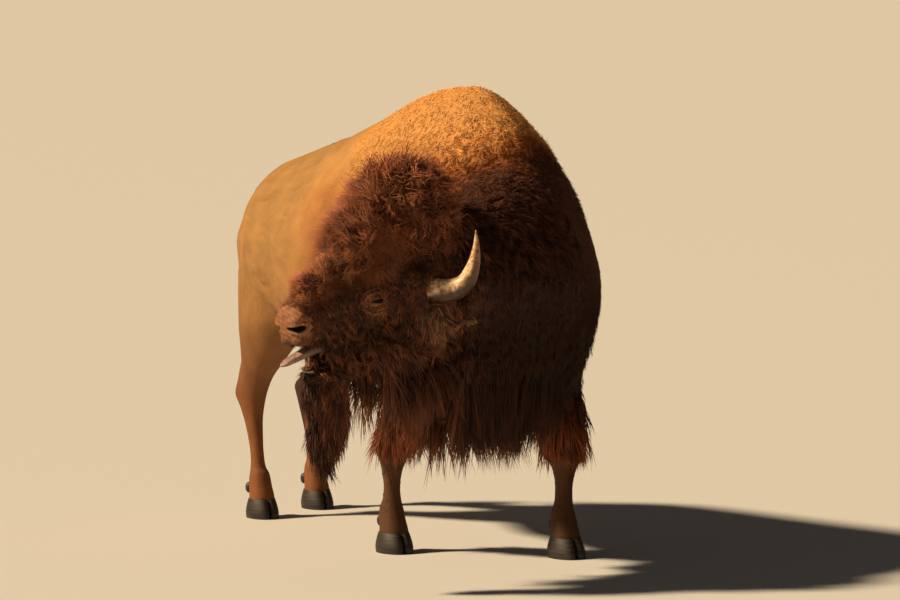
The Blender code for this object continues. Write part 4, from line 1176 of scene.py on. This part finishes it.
# ---------------------------------------------------------------- hard and wet pieces
def rope(name, path, sizes, across, steps, count, shape=None):
    """Closed solid down a path from oval sections square to it; shape may bend each section's outline."""
    keys = np.linspace(0, 1, len(path))
    at = np.linspace(0, 1, steps)
    centres = through(keys, path, at)
    forms = through(keys, sizes, at)
    heads = unit(np.gradient(centres, at, axis=0))
    front = unit(np.cross(heads, across))
    beside = np.cross(front, heads)
    turn = np.linspace(0, 2 * math.pi, count, endpoint=False)
    x, y = np.sin(turn)[None] * forms[:, :1], np.cos(turn)[None] * forms[:, 1:2]
    if shape is not None:
        x, y = shape(at[:, None], turn[None], x, y)
    rings = centres[:, None] + x[..., None] * beside[:, None] + y[..., None] * front[:, None]
    return closed_loft(name, rings)


def horn_mesh(side):
    """Horn that leaves the head sideways, sweeps back and turns up. Its rings fade towards the point."""
    course = [
        (-0.150, 0.096, 0.006, 0.0450),
        (-0.190, 0.160, -0.008, 0.0445),
        (-0.234, 0.222, -0.024, 0.0420),
        (-0.280, 0.274, -0.008, 0.0355),
        (-0.314, 0.303, 0.050, 0.0245),
        (-0.334, 0.316, 0.115, 0.0130),
        (-0.346, 0.317, 0.176, 0.0022),
    ]
    path = [head_point(forward, side * left, up) for forward, left, up, _ in course]
    sizes = [(radius, radius) for *_, radius in course]

    def grown(at, turn, x, y):
        rings = 0.016 * np.sin(2 * np.pi * (at * 17 + 0.25 * np.sin(3 * turn))) * fall(at, 0.10, 0.55)
        flutes = 0.012 * np.sin(turn * 9 + 4 * at) * fall(at, 0.2, 0.8)
        return x * (1 + rings + flutes), y * (1 + rings + flutes)

    return rope("horn", path, sizes, AHEAD, 110, 48, grown)


def tongue_mesh():
    """Thick tongue held out over the lip, hollowed along its middle and drawn to a blunt point."""
    # ahead, up, half-width and half-thickness
    course = [
        (0.120, -0.128, 0.030, 0.017),
        (0.200, -0.127, 0.031, 0.019),
        (0.265, -0.131, 0.031, 0.019),
        (0.315, -0.138, 0.028, 0.017),
        (0.350, -0.146, 0.020, 0.012),
        (0.368, -0.151, 0.004, 0.003),
    ]
    path = [head_point(forward, 0.0, up) for forward, up, *_ in course]
    sizes = [row[2:] for row in course]

    def hollowed(at, turn, x, y):
        top = ease(np.cos(turn), 0.2, 1.0)
        return x, y - 0.0045 * top * ease(at, 0.2, 0.5) * fall(at, 0.8, 0.98) * np.sign(np.cos(turn))

    return rope("tongue", path, sizes, LEFT, 60, 40, hollowed)


def eye_mesh(side):
    """Ball with a slight bulge where the clear front is."""
    polar = np.linspace(0.02, np.pi - 0.02, 48)[:, None]
    turn = np.linspace(0, 2 * np.pi, 64, endpoint=False)[None]
    bulge = EYE_RADIUS * (1 + 0.045 * bell(polar, 0.55))
    left = side * (EYE_SPREAD + bulge * np.cos(polar) * np.ones_like(turn))
    ahead = bulge * np.sin(polar) * np.cos(turn)
    up = bulge * np.sin(polar) * np.sin(turn)
    return closed_loft("eye", head_point(ahead, left, up))


def hoof_mesh(node):
    """One claw of a cloven hoof: flat sole, sloping toe, upright face to its fellow, faint rings."""
    low, high = corners_of(node)
    inner = "inner" in node
    side = SIDES["left" if "left" in node else "right"] * (-1.0 if inner else 1.0)
    toe_y, heel_y = low[1], high[1]
    size = (heel_y - toe_y) / 0.144
    foot_y = toe_y + 0.082 * size
    foot_x = (low[0] if side > 0 else high[0]) - side * 0.003 * size
    height = high[2]
    keys = [0.0, 0.28, 0.64, 1.0]
    forms = [(0.082, 0.060, 0.060), (0.080, 0.062, 0.062), (0.070, 0.060, 0.058), (0.056, 0.054, 0.051)]
    rise = np.concatenate([[0.0, 0.004, 0.012], np.linspace(0.03, 1.0, 26)])
    rings = []
    for at, (toe, heel, breadth) in zip(rise, through(keys, forms, rise)):
        x, y = rounded(breadth * 0.62, heel, toe, 2.3, 40)
        ridge = 1 + 0.0025 * math.sin(at * 26) * (at > 0.05) - 0.02 * math.exp(-at / 0.01)
        x = np.clip(breadth * 0.40 + x * ridge, 0.003, None)
        inward = 1.0 - 0.25 * np.clip(-y / toe, 0, 1) ** 2
        columns = [foot_x + side * x * inward * size, foot_y + y * size * ridge, np.full_like(x, at * height)]
        rings.append(np.stack(columns, 1))
    return closed_loft(node, rings)


def dewclaw_mesh(node):
    """Blunt stud of horn behind the fetlock, slightly pointed at its foot."""
    low, high = corners_of(node)
    centre, half = (low + high) / 2, (high - low) / 2
    polar = np.linspace(0.03, np.pi - 0.03, 24)[:, None]
    turn = np.linspace(0, 2 * np.pi, 32, endpoint=False)[None]
    girth = np.sin(polar) ** 0.85 * (1 + 0.03 * np.sin(polar * 14))
    x = centre[0] + half[0] * girth * np.cos(turn)
    y = centre[1] + half[1] * (girth * np.sin(turn))
    z = centre[2] + half[2] * np.cos(polar) * np.ones_like(turn)
    return closed_loft(node, np.stack([x, y, z], -1))


def teeth_mesh():
    """Eight spade-shaped lower front teeth in an arc behind the lip, as one mesh."""
    # height on the tooth, half-width and half-thickness
    sizes = [
        (-0.010, 0.0032, 0.0030),
        (0.0, 0.0036, 0.0030),
        (0.005, 0.0044, 0.0024),
        (0.0075, 0.0040, 0.0012),
    ]
    teeth = []
    for number in range(8):
        turn = (number - 3.5) * 0.235
        ahead, left = 0.262 + 0.030 * math.cos(turn), 0.034 * math.sin(turn) / math.sin(0.85)
        rings = []
        for at, wide, thick in sizes:
            x, y = rounded(wide, thick, thick, 2.6, 16)
            forward = ahead + y * math.cos(turn) - x * math.sin(turn) + at * 0.35
            forward, up = hung(forward, np.full_like(x, -0.108 + at), JAW_OPEN)
            rings.append(head_point(forward, left + x * math.cos(turn) + y * math.sin(turn), up))
        teeth.append(closed_loft("tooth", rings))
    return joined("teeth", teeth)


# ---------------------------------------------------------------- materials
def new_material(name, roughness, specular=0.5):
    """Material named for what it is, with its node tree and its sockets for base colour and normal."""
    made = bpy.data.materials.new(name)
    made.use_nodes = True
    shader = made.node_tree.nodes["Principled BSDF"]
    shader.inputs["Roughness"].default_value = roughness
    shader.inputs["Specular IOR Level"].default_value = specular
    return made, made.node_tree, shader.inputs["Base Color"], shader.inputs["Normal"]


def add(tree, kind, settings=(), links=(), to=None):
    """Adds a node, sets its properties or unlinked sockets, links sockets into it, and its output to one."""
    node = tree.nodes.new("ShaderNode" + kind)
    for key, value in dict(settings).items():
        if isinstance(key, str) and hasattr(node, key):
            setattr(node, key, value)
        else:
            node.inputs[key].default_value = value
    for key, source in dict(links).items():
        tree.links.new(source, node.inputs[key])
    if to:
        tree.links.new(node.outputs[0], to)
    return node


def set_ramp(node, stops):
    """Colour stops of a ramp: places and sRGB hex codes."""
    ramp = node.color_ramp
    while len(ramp.elements) < len(stops):
        ramp.elements.new(0.5)
    for element, (at, code) in zip(ramp.elements, stops):
        element.position = at
        element.color = (*linear(code), 1.0)


def hair_material():
    """Keratin hair and wool, grown and weathered: soft and matt, each strand with its own tone and painted
    shade at its root.
    """
    made, tree, base, _ = new_material("bison wool and hair", 0.62, 0.24)
    add(tree, "VertexColor", {"layer_name": "coat_tint"}, (), base)
    return made


def hide_material():
    """Hide under short hair: fine streaks along the lie of the hair, and crimped wool in front."""
    made, tree, base, normal = new_material("bison hide", 0.70, 0.25)
    tint = add(tree, "VertexColor", {"layer_name": "coat_tint"})
    where = add(tree, "TexCoord").outputs["Object"]
    # hairs lie back and down: streaks are 3 mm across and 30 mm long, turned to that slope
    slope = {"Rotation": (math.radians(-42), 0, 0), "Scale": (320, 320, 34)}
    turn = add(tree, "Mapping", slope, {"Vector": where})
    fine = {"Scale": 1.0, "Detail": 3.0, "Roughness": 0.6}
    streaks = add(tree, "TexNoise", fine, {"Vector": turn.outputs[0]})
    # patches about 110 mm across, darker and lighter
    blotch = add(tree, "TexNoise", {"Scale": 9.0, "Detail": 4.0}, {"Vector": where})
    span = {"From Min": 0.3, "From Max": 0.7}
    shade = add(tree, "MapRange", {**span, "To Min": 0.80, "To Max": 1.16}, {"Value": streaks.outputs["Fac"]})
    cloud = add(tree, "MapRange", {**span, "To Min": 0.88, "To Max": 1.10}, {"Value": blotch.outputs["Fac"]})
    both = add(tree, "Math", {"operation": "MULTIPLY"}, {0: shade.outputs[0], 1: cloud.outputs[0]})
    ends = {0: tint.outputs["Color"], "Scale": both.outputs[0]}
    add(tree, "VectorMath", {"operation": "SCALE"}, ends, base)
    # pores and hair ends about 1.4 mm apart
    pores = add(tree, "TexNoise", {"Scale": 700.0, "Detail": 2.0}, {"Vector": where})
    plain = add(tree, "Math", {"operation": "ADD"}, {0: streaks.outputs["Fac"], 1: pores.outputs["Fac"]})
    # wool: crimped locks about 8 mm across
    locks = add(tree, "TexNoise", {"Scale": 120.0, "Detail": 4.0, "Distortion": 1.2}, {"Vector": where})
    deep = add(tree, "Math", {"operation": "MULTIPLY", 1: 5.0}, {0: locks.outputs["Fac"]})
    ends = {0: tint.outputs["Alpha"], 2: plain.outputs[0], 3: deep.outputs[0]}
    height = add(tree, "Mix", {"data_type": "FLOAT"}, ends)
    add(tree, "Bump", {"Strength": 0.45, "Distance": 0.0022}, {"Height": height.outputs[0]}, normal)
    return made


def paint_horn(mesh):
    """Cream on top and ochre below, painted light and shade by how each place faces; pale grey near the
    point; near black along the outside of the bend, painted shade.
    """
    points, normals = points_of(mesh), normals_of(mesh)
    _, left, up = in_head(points)
    facing = normals @ UP
    outward = np.sign(left) * (in_head(points + 0.01 * normals)[1] - left) / 0.01
    # painted light and shade: cream where the horn faces up and in, ochre where it faces down and out
    pale = ease(facing - 0.3 * outward + 0.30 * ripple(points, 0.030, 51), -0.55, 0.45)[:, None]
    tint = mix(linear("#9a6230"), linear("#f4dfc2"), pale)
    tint = mix(tint, linear("#cdb8a6"), 0.6 * ease(up, 0.03, 0.13)[:, None])
    # painted shade: near black on the outside and underside of the bend, short of the point
    painted_under_shade = ease(0.72 * outward - 0.69 * facing + 0.10 * ripple(points, 0.040, 52), 0.30, 0.66)
    painted_under_shade = (0.85 * painted_under_shade * fall(up, -0.02, 0.13))[:, None]
    paint(mesh, mix(tint, linear("#2a1a12"), painted_under_shade))


def horn_material():
    """Worn horn sheath: its painted tint, with painted light on top and painted shade below, times ochre,
    cream and grey mottling; satin from rubbing.
    """
    made, tree, base, normal = new_material("worn horn sheath", 0.33)
    tint = add(tree, "VertexColor", {"layer_name": "coat_tint"})
    where = add(tree, "TexCoord").outputs["Object"]
    # stains about 15 mm across, broken into specks
    mottle = add(tree, "TexNoise", {"Scale": 60.0, "Detail": 8.0, "Roughness": 0.75}, {"Vector": where})
    shades = add(tree, "ValToRGB", {}, {"Fac": mottle.outputs["Fac"]})
    set_ramp(shades, [(0.34, "#96683f"), (0.44, "#d2b08a"), (0.54, "#f6ecdc"), (0.70, "#ffffff")])
    multiply = {"data_type": "RGBA", "blend_type": "MULTIPLY", 0: 1.0}
    colour = add(tree, "Mix", multiply, {6: tint.outputs["Color"], 7: shades.outputs[0]})
    tree.links.new(colour.outputs[2], base)
    # scuffs about 6 mm across
    grain = add(tree, "TexNoise", {"Scale": 180.0, "Detail": 4.0}, {"Vector": where})
    add(tree, "Bump", {"Strength": 0.35, "Distance": 0.001}, {"Height": grain.outputs["Fac"]}, normal)
    return made


def hoof_material():
    """Hoof horn: near black, with dusty paler rings and a matt face from wear."""
    made, tree, base, normal = new_material("hoof horn", 0.55)
    where = add(tree, "TexCoord").outputs["Object"]
    # rings of growth about 6 mm apart, wandering over 80 mm
    flat = add(tree, "Mapping", {"Scale": (12, 12, 160)}, {"Vector": where})
    rings = add(tree, "TexNoise", {"Scale": 1.0, "Detail": 4.0}, {"Vector": flat.outputs[0]})
    colours = add(tree, "ValToRGB", {}, {"Fac": rings.outputs["Fac"]}, base)
    set_ramp(colours, [(0.35, "#1b1612"), (0.55, "#2a221c"), (0.75, "#43372d")])
    add(tree, "Bump", {"Strength": 0.3, "Distance": 0.001}, {"Height": rings.outputs["Fac"]}, normal)
    return made


def eye_material():
    """Wet dark eye, glossy under its film of tears; iris and pupil are painted on the ball."""
    made, tree, base, _ = new_material("wet eye", 0.14, 0.12)
    add(tree, "VertexColor", {"layer_name": "coat_tint"}, (), base)
    return made


def tongue_material():
    """Wet tongue: greyish pink, mottled, rough with papillae."""
    made, tree, base, normal = new_material("wet tongue", 0.35)
    where = add(tree, "TexCoord").outputs["Object"]
    # paler patches about 17 mm across
    patches = add(tree, "TexNoise", {"Scale": 60.0, "Detail": 5.0}, {"Vector": where})
    colours = add(tree, "ValToRGB", {}, {"Fac": patches.outputs["Fac"]}, base)
    set_ramp(colours, [(0.3, "#7b5b52"), (0.55, "#987a6e"), (0.75, "#b3978a")])
    # papillae about 2.4 mm apart, drawn coarser than real so that they show
    studs = add(tree, "TexVoronoi", {"Scale": 420.0}, {"Vector": where})
    add(tree, "Bump", {"Strength": 0.35, "Distance": 0.001}, {"Height": studs.outputs["Distance"]}, normal)
    return made


def tooth_material():
    """Worn enamel, ivory with brown stain."""
    made, tree, base, _ = new_material("stained enamel", 0.3)
    where = add(tree, "TexCoord").outputs["Object"]
    # stain in spots about 5 mm across
    stain = add(tree, "TexNoise", {"Scale": 220.0, "Detail": 3.0}, {"Vector": where})
    colours = add(tree, "ValToRGB", {}, {"Fac": stain.outputs["Fac"]}, base)
    set_ramp(colours, [(0.35, "#7a6248"), (0.65, "#b9a688")])
    return made


def floor_material():
    """Plain pale matt floor."""
    made, _, base, _ = new_material("pale floor", 0.9)
    base.default_value = (*linear("#c9c8c6"), 1.0)
    return made


# ---------------------------------------------------------------- assembly
def finish_piece(name, mesh, finish, nodes):
    """Makes a piece that rides on the body, takes a finish and stands for nodes."""
    mesh.materials.clear()
    mesh.materials.append(finish)
    made = place(name, mesh)
    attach(made, "root")
    if nodes:
        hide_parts(*nodes)
    return made


def build_skin(hide):
    """The coloured skin. Returns its points, outward ways and triangles for the coat to grow on."""
    mesh = skin_mesh()
    points = points_of(mesh)
    head = ease(past_nape(points), -0.05, 0.05)
    wool = fall(in_body(points)[1], 0.40, 0.70) * (1 - bare_muzzle(points) * head)
    wool = wool * ease(from_eye(points), 0.045, 0.07)
    # hide colour times painted shade where the wool lies over it
    paint(mesh, markings_and_painted_light(points) * painted_wool_shade(points)[:, None], wool * ease(points[:, 2], 0.36, 0.42))
    finish_piece("skin", mesh, hide, FLESH)
    mesh.calc_loop_triangles()
    corners = read(mesh.loop_triangles, "vertices", 3, np.int32)
    normals = unit(relax(normals_of(mesh), edges_of(mesh), 3, 0.5))
    return {"points": points_of(mesh), "normals": normals, "triangles": corners}


def build_coat(skin, hair):
    """One piece of tufts for each zone of the skin."""
    for number, (name, (zone, locks, style)) in enumerate(COAT.items()):
        roots, normals = scatter(skin, in_zone(zone), locks, 100 + number)
        mesh = grow(name, roots, normals, style, 200 + number)
        finish_piece(name, mesh, hair, ())


def paint_eye(mesh):
    """Pupil as a level oval, iris darkening to its rim, brownish white beyond."""
    forward, _, up = in_head(points_of(mesh))
    radius = np.sqrt(forward**2 + up**2)
    iris = fall(radius, 0.0140, 0.0155)[:, None]
    pupil = fall(np.sqrt((forward / 0.0085) ** 2 + (up / 0.0045) ** 2), 0.9, 1.1)[:, None]
    paint(mesh, mix(mix(linear("#3a281d"), linear("#1d0f08"), iris), linear("#050303"), pupil))


def build_hard():
    """Horns, eyes, tongue, teeth, hooves and dewclaws."""
    horn, hoof, eye, tongue, enamel = (
        horn_material(), hoof_material(), eye_material(), tongue_material(), tooth_material()
    )
    for where, side in SIDES.items():
        sheath = horn_mesh(side)
        paint_horn(sheath)
        finish_piece("horn_sheath_" + where, sheath, horn, ["horn_" + where])
        mesh = eye_mesh(side)
        paint_eye(mesh)
        finish_piece("eyeball_" + where, mesh, eye, ["eye_" + where])
    finish_piece("wet_tongue", tongue_mesh(), tongue, ["tongue"])
    finish_piece("lower_teeth", teeth_mesh(), enamel, ())
    for node in list(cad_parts):
        if "_hoof_" in node:
            finish_piece("horn_of_" + node, hoof_mesh(node), hoof, [node])
        elif "_dewclaw_" in node:
            finish_piece("horn_of_" + node, dewclaw_mesh(node), hoof, [node])


def build_stage():
    """Pale floor, a large warm key light high on the left, a weak fill, and the camera."""
    corners = [(x * FLOOR_HALF, y * FLOOR_HALF) for x, y in ((-1, -1), (1, -1), (1, 1), (-1, 1))]
    floor = closed_loft("floor", [[(x, y, z) for x, y in corners] for z in (-0.05, 0.0)])
    floor.materials.append(floor_material())
    made = place("floor", floor)
    floor.polygons.foreach_set("use_smooth", [False] * len(floor.polygons))

    c, s = math.cos(CAMERA_RISE), math.sin(CAMERA_RISE)
    back = Vector((math.sin(CAMERA_TURN) * c, -math.cos(CAMERA_TURN) * c, s))
    right = Vector((math.cos(CAMERA_TURN), math.sin(CAMERA_TURN), 0.0))
    key, fill = bpy.data.lights.new("key", "SUN"), bpy.data.lights.new("fill", "AREA")
    key.energy, key.angle, key.color = 5.8, 0.09, linear("#ffe4bc")
    fill.energy, fill.size, fill.color = 18.0, 5.0, linear("#f4e6d6")
    fill.shape = "DISK"
    ways = -1.0 * right + 0.14 * back + Vector((0, 0, 0.92)), -1.0 * right + 1.1 * back + Vector((0, 0, 0.3))
    for lamp, way in zip((key, fill), ways):
        made = bpy.data.objects.new(lamp.name, lamp)
        made.visible_glossy = lamp is key
        bpy.context.scene.collection.objects.link(made)
        way.normalize()
        made.location = Vector((0.27, -0.39, 0.95)) + way * 8.0
        made.rotation_euler = (-way).to_track_quat("-Z", "Y").to_euler()

    world = bpy.data.worlds.new("studio")
    world.use_nodes = True
    background = world.node_tree.nodes["Background"]
    background.inputs["Color"].default_value = (*linear("#d8d0c6"), 1.0)
    background.inputs["Strength"].default_value = 0.08
    bpy.context.scene.world = world

    camera = bpy.data.cameras.new("camera")
    camera.sensor_width, camera.lens = 36.0, 190.08
    camera.clip_start, camera.clip_end = 0.1, 2000.0
    made = bpy.data.objects.new("camera", camera)
    bpy.context.scene.collection.objects.link(made)
    made.location = CAMERA_AIM + back * CAMERA_AWAY
    made.rotation_euler = (-back).to_track_quat("-Z", "Y").to_euler()
    bpy.context.scene.camera = made
    bpy.context.scene.view_settings.view_transform = "Standard"


skin = build_skin(hide_material())
build_coat(skin, hair_material())
build_hard()
build_stage()
